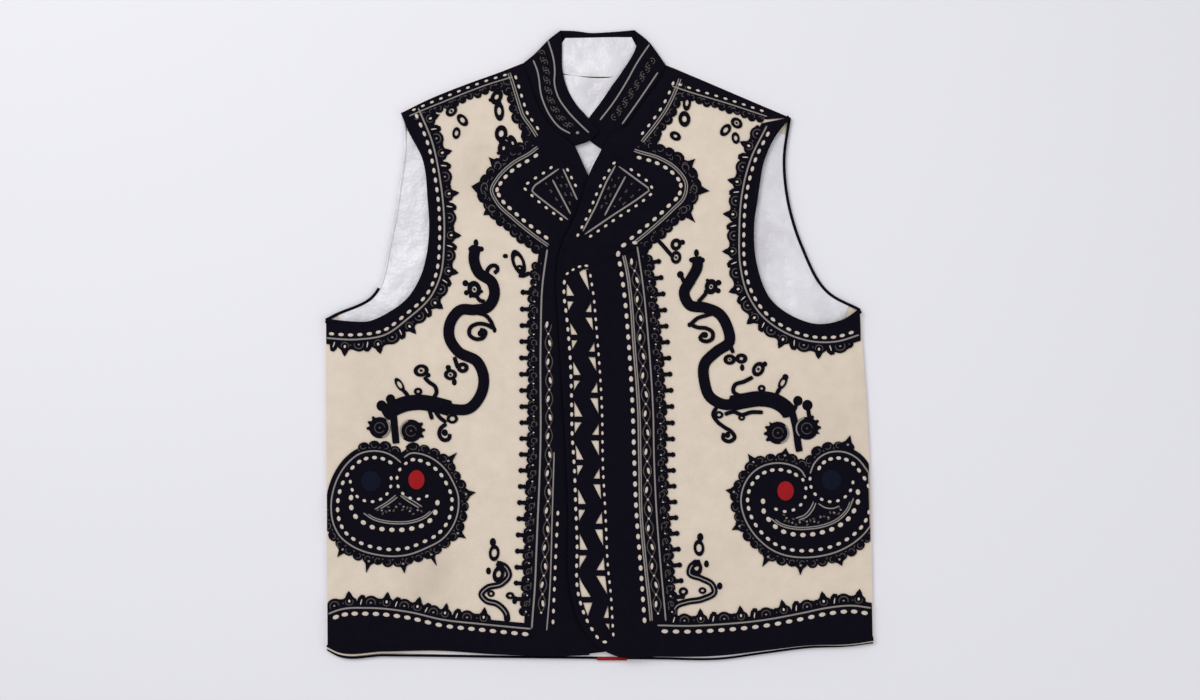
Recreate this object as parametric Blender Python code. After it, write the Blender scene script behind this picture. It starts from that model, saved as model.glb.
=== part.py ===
"""A sleeveless folk vest of cream felted wool with black applique, laid flat on its back.

The tables are in millimetres on the garment: x runs to the right as seen from above,
y runs up towards the collar and z up from the surface that it lies on. Left and right
in the names are the wearer's, so the left front is on the viewer's right, at +x.
"""

import bpy
import numpy as np

MM = 0.001

# Thicknesses and clearances
WOOL = 2.4
SATIN = 1.0
COLLAR = 3.0
FELT = 1.2
SEAM = 0.3
LAY = 0.45
BIND_WIDTH = 1.6
TAB_WIDTH = 30.0
TAB_DEPTH = 2.7
RIM_LIFT = 0.3

# Heights of the layers where the vest lies flat
BACK_TOP = WOOL
LINING_LOW = BACK_TOP + SEAM
LINING_TOP = LINING_LOW + SATIN
FRONT_LOW = LINING_TOP + SEAM
FRONT_LAP = WOOL + 0.35
COLLAR_LAP = COLLAR + 0.35
NECK_GAP = 1.3

# How far the layers ease down at a seam, and up over one another
SIDE_ROLL = 14.0
SHOULDER_ROLL = 18.0
FOLD_ROLL = 7.0
LAP_RAMP = 36.0
LAP_START = 201.0
LAP_RISE = 34.0
CROSS_FULL = 17.0
CROSS_FREE = 30.0
CROSS_X, CROSS_Y = -7.5, 214.0

# Spacing of points along strips
TOOTH = 9.0
FINE = 4.5

# Rows of points on the back and the fronts, as shares of their edges
BACK_SIDE_ROWS = 6
BACK_COLUMNS = np.array([0, 0.08, 0.16, 0.24, 0.318, 0.38, 0.44, 0.5, 0.56, 0.62, 0.672, 0.75, 0.83, 0.92, 1])
EDGE_LEVEL = 0.655
FRONT_LOWER = np.array([0, 0.037, 0.075, 0.117, 0.165, 0.225, 0.3, 0.385, 0.47, 0.56, 0.65, 0.74, 0.83, 0.92, 1])
FRONT_EDGE = np.array([0.05, 0.1, 0.17, 0.26, 0.35, 0.44, 0.53, 0.62, 0.7, 0.77, 0.83, 0.89, 0.945, 1])
FRONT_NECK = np.array([0.28, 0.56, 0.81, 0.86, 0.9, 0.95, 0.986, 1])
FRONT_ARM = np.array([0.02, 0.05, 0.09, 0.14, 0.2, 0.26, 0.32, 0.38, 0.44, 0.5, 0.555, 0.61, 0.66, 0.71,
                      0.78, 0.86, 0.932, 0.951, 0.966, 0.982, 0.995, 1])
UNDERARM_DIPS_RIGHT = (4, 12, 10.5, 9, 6.5, 3.5, 1.5, 0.5)
UNDERARM_DIPS_LEFT = (7, 21, 18.5, 16, 12.5, 7.5, 2.5, 0.5)
HEM_BINDING_END = -9.0
TAB_X = 12.5

# Side edges. Columns: y, x on the right side, x on the left side
SIDES = np.array([(-305, -271.5, 273.0), (-95, -272.5, 268.5), (30, -273.0, 260.0)])

# Every table below has the columns x, y
SHOULDER_RIGHT = [(-76.5, 281), (-99.5, 272), (-131.5, 260.5), (-174.5, 243), (-196.5, 232)]
SHOULDER_LEFT = [(66.5, 279), (95.5, 267), (140, 248), (189.5, 227)]
SIDE_RIGHT = [(-271.5, -303), (-272.5, -95), (-273, 25)]
SIDE_LEFT = [(273, -296), (268.5, -95), (260, 35)]

BACK_HEM = [(-271.5, -303), (-262, -308.5), (-215, -309), (-165, -309.5), (-99, -310.5), (0, -311.5),
            (60, -312), (120, -312.3), (164, -306.5), (207, -301), (250, -299), (273, -296)]
BACK_ARMHOLE_RIGHT = [(-273, 25), (-265.5, 29), (-226.5, 48), (-207.5, 107), (-199.5, 153), (-194, 212),
                      (-196.5, 232)]
BACK_ARMHOLE_LEFT = [(260, 35), (228.5, 52), (201.5, 99), (187.5, 146), (184, 184), (189.5, 227)]
BACK_NECK = [(-76.5, 281), (-40, 271), (0, 267), (40, 271), (66.5, 279)]
LINING_TOP_EDGE = [(-193.5, 211), (-100, 249.5), (-62, 265.5), (-40, 269.7), (0, 266.2), (40, 269.7),
                   (57, 263), (95, 245.5), (184, 206.5)]
LINING_HEM = [(-257, -306), (-165, -308.3), (-99, -309.5), (0, -310.7), (60, -311.3), (120, -311.6),
              (164, -305.9), (207, -300.4), (256, -298)]

COLLAR_TOP = [(-38.5, 314.3), (-24, 313.8), (-9.5, 312), (8, 312.6), (34.5, 314.7)]
FOLD_RIGHT = [(-76.5, 281), (-65.5, 289.9), (-50, 305.5), (-38.5, 314.3)]
FOLD_LEFT = [(66.5, 279), (59.5, 289), (49.7, 302), (34.5, 314.7)]
NECK_SEAM_RIGHT = [(-76.5, 281), (-71.5, 267), (-61.5, 239), (-54.5, 226), (-44.5, 214), (-33.5, 205),
                   (-25.5, 198)]
NECK_SEAM_LEFT = [(66.5, 279), (62.5, 268), (52.5, 253), (41.5, 238.5), (31.5, 224), (22, 212), (3.5, 194.5)]
COLLAR_EDGE_RIGHT = [(-38.5, 314.3), (-37.5, 302), (-36.5, 272), (-31.5, 254.5), (-23, 240), (-11, 226),
                     (-0.5, 213)]
COLLAR_EDGE_LEFT = [(34.5, 314.7), (37, 306), (22, 272), (12, 258), (2.5, 244), (-11, 226), (-18.5, 215)]
COLLAR_END_RIGHT = [(-25.5, 198), (-9.5, 204), (-0.5, 213)]
COLLAR_END_LEFT = [(3.5, 194.5), (-9.5, 204), (-18.5, 215)]

# Front edges, from the hem to the end of the collar
EDGE_RIGHT = [(24.5, -303), (24.5, 5), (22.5, 55), (16.5, 95), (6.5, 125), (-3.5, 149), (-13.5, 167),
              (-21.5, 185), (-27.5, 198)]
EDGE_LEFT = [(14, -306.5), (3, -301), (-11.5, -286.5), (-21, -269.5), (-26.5, -249.5), (-29.5, -162.5),
             (-34, -65.5), (-39.5, 25.5), (-41.5, 70.5), (-39.5, 87.5), (-34.5, 102.5), (-22.5, 127.5),
             (-13.5, 153.5), (-9.5, 167.5), (3.5, 194.5)]
HEM_RIGHT = [(24.5, -303), (-10, -307), (-39, -308), (-99, -306.5), (-165, -302.5), (-215, -303.5),
             (-262, -303.5), (-271.5, -299)]
HEM_LEFT = [(14, -306.5), (60, -308.5), (120, -307.5), (164, -302.5), (207, -297.5), (250, -296), (273, -293)]
ARMHOLE_RIGHT = [(-273, 25), (-246, 22.2), (-230.5, 22.2), (-209, 31.5), (-191.5, 44.3), (-177, 67),
                 (-170, 93), (-168, 118), (-169.5, 145), (-174.5, 185), (-190, 216), (-196.5, 232)]
ARMHOLE_LEFT = [(260, 35), (244, 24.7), (230, 20.5), (216.5, 19.6), (197, 25), (169, 45), (156.5, 74),
                (152.3, 103), (152.8, 125), (155.5, 143), (157.5, 157), (162.5, 184), (181.5, 219), (189.5, 227)]

# Where the right front's hidden edge runs below the left front. Columns: y, x
HIDDEN_EDGE = np.array([(-309, 24.5), (5, 24.5), (55, 22.5), (95, 16.5), (125, 6.5), (149, -3.5), (167, -11.5),
                        (185, -19.5), (198, -25.5)])

# Soft swells and troughs of the fronts. Columns: x, y, half length, half width, turn in degrees, height
SWELLS = [
    (-120, 150, 60, 70, 0, 1.8),
    (-170, -30, 80, 70, 0, 2.2),
    (-150, -210, 90, 50, 0, 1.6),
    (110, 150, 55, 70, 0, 1.8),
    (170, -20, 80, 75, 0, 2.2),
    (160, -210, 80, 50, 0, 1.6),
    (0, -60, 60, 200, 0, 0.8),
    (-124, 180, 45, 20, 74, -1.4),
    (-167, -240, 40, 18, 100, -1.2),
    (-227, -46, 60, 18, 59, -0.9),
    (230, -57, 60, 18, -60, -0.9),
]

CREAM = (0.66, 0.56, 0.45, 1)
BLACK = (0.007, 0.007, 0.012, 1)
WHITE = (0.8, 0.78, 0.8, 1)
RED = (0.36, 0.012, 0.014, 1)
BLUE = (0.012, 0.016, 0.035, 1)


def clear_scene():
    for item in list(bpy.data.objects):
        bpy.data.objects.remove(item, do_unlink=True)


def cloth(name, colour, roughness):
    """A plain matt material of one colour."""
    material = bpy.data.materials.new(name)
    material.use_nodes = True
    shader = material.node_tree.nodes["Principled BSDF"]
    shader.inputs["Base Color"].default_value = colour
    shader.inputs["Roughness"].default_value = roughness
    shader.inputs["Metallic"].default_value = 0.0
    return material


def curve(rows, fractions):
    """Points at the given fractions of the length of a smooth curve through the rows.

    Between two rows it is the cubic that keeps the slopes at both, over chord length.
    """
    knots = np.array(rows, float)
    chord = np.concatenate([[0], np.cumsum(np.hypot(*np.diff(knots, axis=0).T))])
    slopes = np.gradient(knots, chord, axis=0)
    along = np.linspace(0, chord[-1], 24 * len(rows))
    k = np.clip(np.searchsorted(chord, along, side="right") - 1, 0, len(rows) - 2)
    span = (chord[k + 1] - chord[k])[:, None]
    s = (along - chord[k])[:, None] / span
    dense = (
        (1 + 2 * s) * (1 - s) ** 2 * knots[k]
        + s * (1 - s) ** 2 * span * slopes[k]
        + s * s * (3 - 2 * s) * knots[k + 1]
        + s * s * (s - 1) * span * slopes[k + 1]
    )
    length = np.concatenate([[0], np.cumsum(np.hypot(*np.diff(dense, axis=0).T))])
    at = np.asarray(fractions) * length[-1]
    return np.stack([np.interp(at, length, dense[:, 0]), np.interp(at, length, dense[:, 1])], 1)


def even(count):
    return np.linspace(0, 1, count)


def on_line(points, fractions):
    """Points at the given fractions of the length of a line of straight pieces."""
    length = np.concatenate([[0], np.cumsum(np.hypot(*np.diff(points, axis=0).T))])
    at = np.asarray(fractions) * length[-1]
    return np.stack([np.interp(at, length, points[:, 0]), np.interp(at, length, points[:, 1])], 1)


def run(points):
    """Length of a line of points."""
    return np.hypot(*np.diff(np.array(points, float), axis=0).T).sum()


def beside(points, distance):
    """The points moved to the left of the way they run."""
    way = np.gradient(points, axis=0)
    way /= np.hypot(*way.T)[:, None]
    return points + np.stack([-way[:, 1], way[:, 0]], 1) * np.broadcast_to(distance, len(points))[:, None]


def step(t):
    """Rises smoothly from 0 at 0 to 1 at 1."""
    t = np.clip(t, 0, 1)
    return t * t * (3 - 2 * t)


def side_gap(x, y):
    """Distance in from the nearer side edge."""
    return np.minimum(x - np.interp(y, SIDES[:, 0], SIDES[:, 1]), np.interp(y, SIDES[:, 0], SIDES[:, 2]) - x)


def line_gap(x, y, rows):
    """Distance to the left of the straight line from a table's first row to its last."""
    (x0, y0), (x1, y1) = rows[0], rows[-1]
    return ((x1 - x0) * (y - y0) - (y1 - y0) * (x - x0)) / np.hypot(x1 - x0, y1 - y0)


def shoulder_gap(x, y):
    """Distance in from the shoulder seam of the same side."""
    right = -line_gap(x, y, SHOULDER_RIGHT[::-1])
    left = -line_gap(x, y, SHOULDER_LEFT)
    return np.where(x < 0, right, left)


def swell(x, y):
    """Sum of long bell-shaped swells and troughs, never below the lining."""
    total = np.zeros(np.shape(x))
    for cx, cy, half_length, half_width, turn, height in SWELLS:
        c, s = np.cos(np.radians(turn)), np.sin(np.radians(turn))
        along = (x - cx) * c + (y - cy) * s
        across = (y - cy) * c - (x - cx) * s
        total += height * np.exp(-0.5 * ((along / half_length) ** 2 + (across / half_width) ** 2))
    return np.maximum(total, 0)


def rim_bed(x, y):
    """Height of the edgings of the back, which curl up a little from the table."""
    return np.full(np.shape(x), RIM_LIFT)


def bed(x, y):
    """Height of a front's underside: on the back at the seams, over the lining inside them."""
    inside = step(side_gap(x, y) / SIDE_ROLL) * step(shoulder_gap(x, y) / SHOULDER_ROLL)
    return LINING_LOW + (FRONT_LOW - LINING_LOW + swell(x, y)) * inside


def lap(x, y):
    """How far the left front rises over the right one."""
    hidden = np.interp(y, HIDDEN_EDGE[:, 0], HIDDEN_EDGE[:, 1])
    return FRONT_LAP * step((hidden + 2 + LAP_RAMP - x) / LAP_RAMP) * step((LAP_START - y) / LAP_RISE)


def lapped_bed(x, y):
    return bed(x, y) + lap(x, y)


def collar_bed(x, y):
    """Height of a collar half's underside, low at its fold."""
    right = line_gap(x, y, FOLD_RIGHT[::-1])
    left = line_gap(x, y, FOLD_LEFT)
    gap = np.where(x < 0, -right, left)
    return LINING_LOW + (FRONT_LOW - LINING_LOW) * step(np.abs(gap) / FOLD_ROLL)


def crossed_collar_bed(x, y):
    """The same for the half that lies over the other where they cross."""
    away = np.hypot(x - CROSS_X, y - CROSS_Y)
    return collar_bed(x, y) + COLLAR_LAP * step((CROSS_FREE - away) / (CROSS_FREE - CROSS_FULL))


def mesh_object(name, points, faces, material):
    mesh = bpy.data.meshes.new(name)
    mesh.from_pydata((np.asarray(points) * MM).tolist(), [], [list(map(int, face)) for face in faces])
    mesh.update()
    mesh.shade_smooth()
    mesh.set_sharp_from_angle(angle=np.radians(40))
    piece = bpy.data.objects.new(name, mesh)
    bpy.context.scene.collection.objects.link(piece)
    piece.data.materials.append(material)
    return piece


def wall(name, grid, low, high, material, soft=0.0):
    """A closed wall over one grid of points, from its lower heights to its upper ones.

    soft lowers the upper surface along the rim, so that the cloth's edge is not sharp.
    """
    high = np.array(high, float)
    rim_mask = np.ones(high.shape, bool)
    rim_mask[1:-1, 1:-1] = False
    high[rim_mask] -= soft
    low = np.broadcast_to(low, high.shape)
    across, up = grid[0, 1] - grid[0, 0], grid[1, 0] - grid[0, 0]
    middle = grid[-1, -1] - grid[0, 0]
    turned = grid[0, -1] - grid[-1, 0]
    if middle[0] * -turned[1] + middle[1] * turned[0] < 0:
        grid, low, high = grid[:, ::-1], low[:, ::-1], high[:, ::-1]
    rows, columns = high.shape
    count = rows * columns
    points = np.concatenate([np.dstack([grid, low]).reshape(-1, 3), np.dstack([grid, high]).reshape(-1, 3)])
    at = np.arange(count).reshape(rows, columns)
    corners = [at[:-1, :-1], at[:-1, 1:], at[1:, 1:], at[1:, :-1]]
    lower = np.stack(corners[::-1], -1).reshape(-1, 4)
    upper = np.stack(corners, -1).reshape(-1, 4) + count
    rim = np.concatenate([at[0], at[1:, -1], at[-1, -2::-1], at[-2:0:-1, 0]])
    after = np.roll(rim, -1)
    sides = np.stack([rim, after, after + count, rim + count], -1)
    return mesh_object(name, points, np.concatenate([lower, upper, sides]), material)


def bow(rows, shares):
    """How far a curve leaves the straight line between its ends."""
    u = shares[:, None]
    return curve(rows, shares) - (np.array(rows[0]) * (1 - u) + np.array(rows[-1]) * u)


def patch(left, right, bottom, top, across):
    """Grid of points between four curves: rows run from left to right, one for each pair of points.

    The straight line between the pair is moved by what the bottom and top curves bow there.
    """
    up = np.concatenate([[0], np.cumsum(np.hypot(*np.diff((left + right) / 2, axis=0).T))])
    up /= up[-1]
    grid = []
    for a, b, v, shares in zip(left, right, up, across):
        u = shares[:, None]
        straight = a * (1 - u) + b * u
        grid.append(straight + (1 - v) * bow(bottom, shares) + v * bow(top, shares))
    return np.array(grid)


def stations(length, pitch, fine_start, fine_end):
    """Fractions along a strip: an even number of equal steps, shorter ones at an end on a roll."""
    count = max(4, 2 * round(length / pitch / 2))
    shares = list(even(count + 1))
    fine = [FINE * k / length for k in range(1, 5)]
    if fine_start:
        shares = [0.0] + fine + [share for share in shares if share > fine[-1] + FINE / length]
    if fine_end:
        shares = [share for share in shares if share < 1 - fine[-1] - FINE / length] + [
            1 - share for share in fine[::-1]
        ] + [1.0]
    return np.array(shares)


def teeth(shares, length, reach, bare):
    """Scallops: every other point reaches out, each third one further, none near the two bare ends."""
    count = np.arange(len(shares))
    tooth = count % 2 * np.where(count % 6 == 3, 1.4, 1.0)
    return reach * tooth * (shares * length > bare[0]) * ((1 - shares) * length > bare[1])


def felt_strip(name, inner, outer, surface, columns=3, reach=0.0, fine=(False, False), pitch=TOOTH, also=0.0,
               bare=(24.0, 24.0)):
    """A felt plate between two rails, lying on a front's surface, scalloped along its outer rail."""
    length = run(outer)
    shares = stations(length, pitch, *fine)
    a, b = curve(inner, shares), curve(outer, shares)
    out = (b - a) / np.hypot(*(b - a).T)[:, None]
    a = a - out * teeth(shares, length, also, bare)[:, None]
    b = b + out * teeth(shares, length, reach + also, bare)[:, None]
    grid = a[:, None] + (b - a)[:, None] * even(columns)[None, :, None]
    low = surface(grid[..., 0], grid[..., 1]) + WOOL + LAY
    return wall(name, grid, low, low + FELT, black_felt)


def stroke(name, rows, width, surface, pitch=TOOTH, shares=None):
    """A narrow felt plate along a centre line, tapered at both ends."""
    shares = even(round(run(rows) / pitch) + 1) if shares is None else shares
    centre = curve(rows, shares)
    half = np.full(len(centre), width / 2)
    half[[0, -1]] *= 0.45
    grid = np.stack([beside(centre, half), beside(centre, -half)], 1)
    low = surface(grid[..., 0], grid[..., 1]) + WOOL + LAY
    return wall(name, grid, low, low + FELT, black_felt)


def binding(name, line, side, surface):
    """An edging strip just outside an edge: side is 1 to the left of the way it runs, -1 to the right."""
    inner, outer = beside(line, side * SEAM), beside(line, side * (SEAM + BIND_WIDTH))
    grid = np.stack([inner, outer], 1)
    low = surface(grid[..., 0], grid[..., 1])
    high = low + WOOL
    high[:, 1] -= 0.6
    wall(name, grid, low, high, black_felt)


def disc(name, x, y, half_width, half_height, low, thick, material, sides=14):
    """A round spot with a slightly domed top."""
    turn = np.arange(sides) * 2 * np.pi / sides
    ring = np.stack([x + half_width * np.cos(turn), y + half_height * np.sin(turn)], 1)
    inner = np.array([x, y]) + (ring - (x, y)) * 0.8
    ring_low = low(ring[:, 0], ring[:, 1])
    inner_low = low(inner[:, 0], inner[:, 1])
    points = np.concatenate([
        np.column_stack([ring, ring_low]),
        np.column_stack([ring, ring_low + thick * 0.6]),
        np.column_stack([inner, inner_low + thick]),
    ])
    k = np.arange(sides)
    after = (k + 1) % sides
    faces = [k[::-1]]
    for level in range(2):
        base = level * sides
        faces += list(np.stack([k + base, after + base, after + base + sides, k + base + sides], 1))
    faces.append(k + 2 * sides)
    mesh_object(name, points, faces, material)


def make_back():
    lower, upper = even(BACK_SIDE_ROWS), even(15)[1:]
    left = np.concatenate([curve(SIDE_RIGHT, lower), curve(BACK_ARMHOLE_RIGHT, upper)])
    right = np.concatenate([curve(SIDE_LEFT, lower), curve(BACK_ARMHOLE_LEFT, upper)])
    top = SHOULDER_RIGHT[::-1] + BACK_NECK[1:-1] + SHOULDER_LEFT
    across = np.tile(BACK_COLUMNS, (len(left), 1))
    grid = patch(left, right, BACK_HEM, top, across)
    wall("back", grid, np.zeros(grid.shape[:2]), np.full(grid.shape[:2], BACK_TOP), cream_wool)
    return grid


def make_lining():
    inset = 14.8
    side_right = [(x + inset, y) for x, y in SIDE_RIGHT]
    side_left = [(x - inset, y) for x, y in SIDE_LEFT]
    lower, upper = even(5), np.linspace(0.055, 0.92, 12)
    arm_right = beside(curve(BACK_ARMHOLE_RIGHT, upper), -0.4)
    arm_left = beside(curve(BACK_ARMHOLE_LEFT, upper), 0.4)
    left = np.concatenate([curve(side_right, lower * 0.985), arm_right])
    right = np.concatenate([curve(side_left, lower * 0.985), arm_left])
    left[0], right[0] = LINING_HEM[0], LINING_HEM[-1]
    top = [tuple(left[-1])] + LINING_TOP_EDGE[1:-1] + [tuple(right[-1])]
    across = np.tile(even(12), (len(left), 1))
    grid = patch(left, right, LINING_HEM, top, across)
    wall("back_lining", grid, np.full(grid.shape[:2], LINING_LOW), np.full(grid.shape[:2], LINING_TOP), satin)


def make_front(name, edge, seam, side, armhole, hem, shoulder, surface, ramp, dips=()):
    """A front from its edge to its side. Rows run from hem to shoulder, closer at the rolled seams.

    The rows at the foot of the armhole dip below it where it sags between the side and the arm.
    """
    edge_lower, edge_upper = EDGE_LEVEL * FRONT_LOWER, EDGE_LEVEL + (1 - EDGE_LEVEL) * FRONT_EDGE
    inner = np.concatenate([curve(edge, edge_lower), curve(edge, edge_upper), curve(seam[::-1], FRONT_NECK)])
    outer = np.concatenate([curve(side, FRONT_LOWER), curve(armhole, FRONT_ARM)])
    widths = np.hypot(*(outer - inner).T)
    across = []
    for start, width in zip(inner, widths):
        roll = 1 - SIDE_ROLL / width
        if ramp:
            hidden = np.interp(start[1], HIDDEN_EDGE[:, 0], HIDDEN_EDGE[:, 1])
            a = np.clip((hidden + 2 - start[0]) / width, 0.1, 0.35)
            b = a + LAP_RAMP / width
            knots = ([0, 1, 3, 8, 13, 16, 17], [0, 1.5 / width, a, b, roll, 1 - 1.5 / width, 1])
        else:
            knots = ([0, 1, 10, 13, 14], [0, 1.5 / width, roll, 1 - 1.5 / width, 1])
        across.append(np.interp(np.arange(knots[0][-1] + 1), *knots))
    grid = patch(inner, outer, hem, shoulder, np.array(across))
    for row, dip in enumerate(dips, len(FRONT_LOWER) - 2):
        grid[row, :, 1] -= dip * (across[row] / 0.85) ** 4 * np.minimum(1, (1 - across[row]) / 0.12)
    low = surface(grid[..., 0], grid[..., 1])
    wall(name, grid, low, low + WOOL, cream_wool, soft=0.5)
    return grid


def make_collar(right_front, left_front):
    up = even(5)
    neck = [(x, y + NECK_GAP) for x, y in BACK_NECK]
    grid = patch(curve(FOLD_RIGHT, up), curve(FOLD_LEFT, up), neck, COLLAR_TOP, np.tile(even(11), (5, 1)))
    grid[:, :, 1] += NECK_GAP * (1 - up)[:, None]
    wall("collar_back", grid, np.zeros(grid.shape[:2]), np.full(grid.shape[:2], BACK_TOP), black_felt)

    left = np.array([(-57, 278), (-49, 287), (-41, 297), (-33.5, 305.8)])
    right = np.array([(48, 276), (43, 286), (37.5, 297), (31.5, 306.6)])
    bottom = [(-57, 278), (-40, 273), (0, 269.2), (40, 273), (48, 276)]
    top = [(-33.5, 305.8), (-9.5, 306.6), (8, 307), (31.5, 306.6)]
    grid = patch(left, right, bottom, top, np.tile(even(9), (4, 1)))
    wall("collar_back_lining", grid, np.full(grid.shape[:2], LINING_LOW), np.full(grid.shape[:2], LINING_TOP), satin)

    along = np.concatenate([[0, 0.015, 0.035, 0.06, 0.09], np.linspace(0.16, 1, 12)])
    halves = (
        ("collar_right", FOLD_RIGHT[::-1], COLLAR_EDGE_RIGHT, right_front, COLLAR_END_RIGHT, crossed_collar_bed),
        ("collar_left", FOLD_LEFT[::-1], COLLAR_EDGE_LEFT, left_front, COLLAR_END_LEFT, collar_bed),
    )
    neck_rows = len(FRONT_NECK) + 1
    for name, fold, edge, front, end, surface in halves:
        seam = front[-neck_rows:, 0][::-1]
        inner, outer = curve(edge, along), on_line(seam, along)
        width = np.hypot(*(outer - inner).T)[:, None]
        outer = inner + (outer - inner) * (1 - 1.4 * SEAM / width)
        grid = patch(inner, outer, fold, end[::-1], np.tile(even(6), (len(along), 1)))
        low = surface(grid[..., 0], grid[..., 1])
        wall(name, grid, low, low + COLLAR, black_felt, soft=0.7)


def make_bindings(back, right_front, left_front):
    """The edgings, each along the rim of the piece that it finishes."""
    arm = slice(len(FRONT_LOWER), -2)
    throat = len(FRONT_LOWER) + len(FRONT_EDGE)
    left_edge = np.concatenate([left_front[throat - 2::-1, 0], left_front[0, 1:]])
    binding("binding_front_left", left_edge[:-1], -1, lapped_bed)
    binding("binding_front_right", right_front[throat - 4:throat - 1, 0][::-1], 1, bed)
    hem = right_front[0][:-1]
    binding("binding_hem_right", hem[hem[:, 0] < HEM_BINDING_END], 1, bed)
    binding("binding_armhole_right", right_front[arm, -1], 1, bed)
    binding("binding_armhole_left", left_front[arm, -1], -1, bed)
    binding("binding_back_armhole_right", back[BACK_SIDE_ROWS:-1, 0], 1, rim_bed)
    binding("binding_back_armhole_left", back[BACK_SIDE_ROWS:-1, -1], -1, rim_bed)
    hem = back[0]
    tab = on_line(hem, (TAB_X + np.array([-0.5, 0.5]) * TAB_WIDTH - hem[0, 0]) / np.ptp(hem[:, 0]))
    right, left = hem[hem[:, 0] < tab[0, 0]], hem[hem[:, 0] > tab[1, 0]]
    gap = np.array([SEAM, 0])
    binding("binding_back_hem_right", np.vstack([right, tab[:1] - gap]), -1, rim_bed)
    binding("binding_back_hem_left", np.vstack([tab[1:] + gap, left]), -1, rim_bed)
    line = np.vstack([tab[:1], hem[(hem[:, 0] > tab[0, 0]) & (hem[:, 0] < tab[1, 0])], tab[1:]])
    grid = np.stack([beside(line, -SEAM), beside(line, -SEAM - TAB_DEPTH)], 1)
    low = rim_bed(grid[..., 0], grid[..., 1])
    wall("hem_tab", grid, low, low + WOOL, red_felt, soft=0.3)


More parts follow.
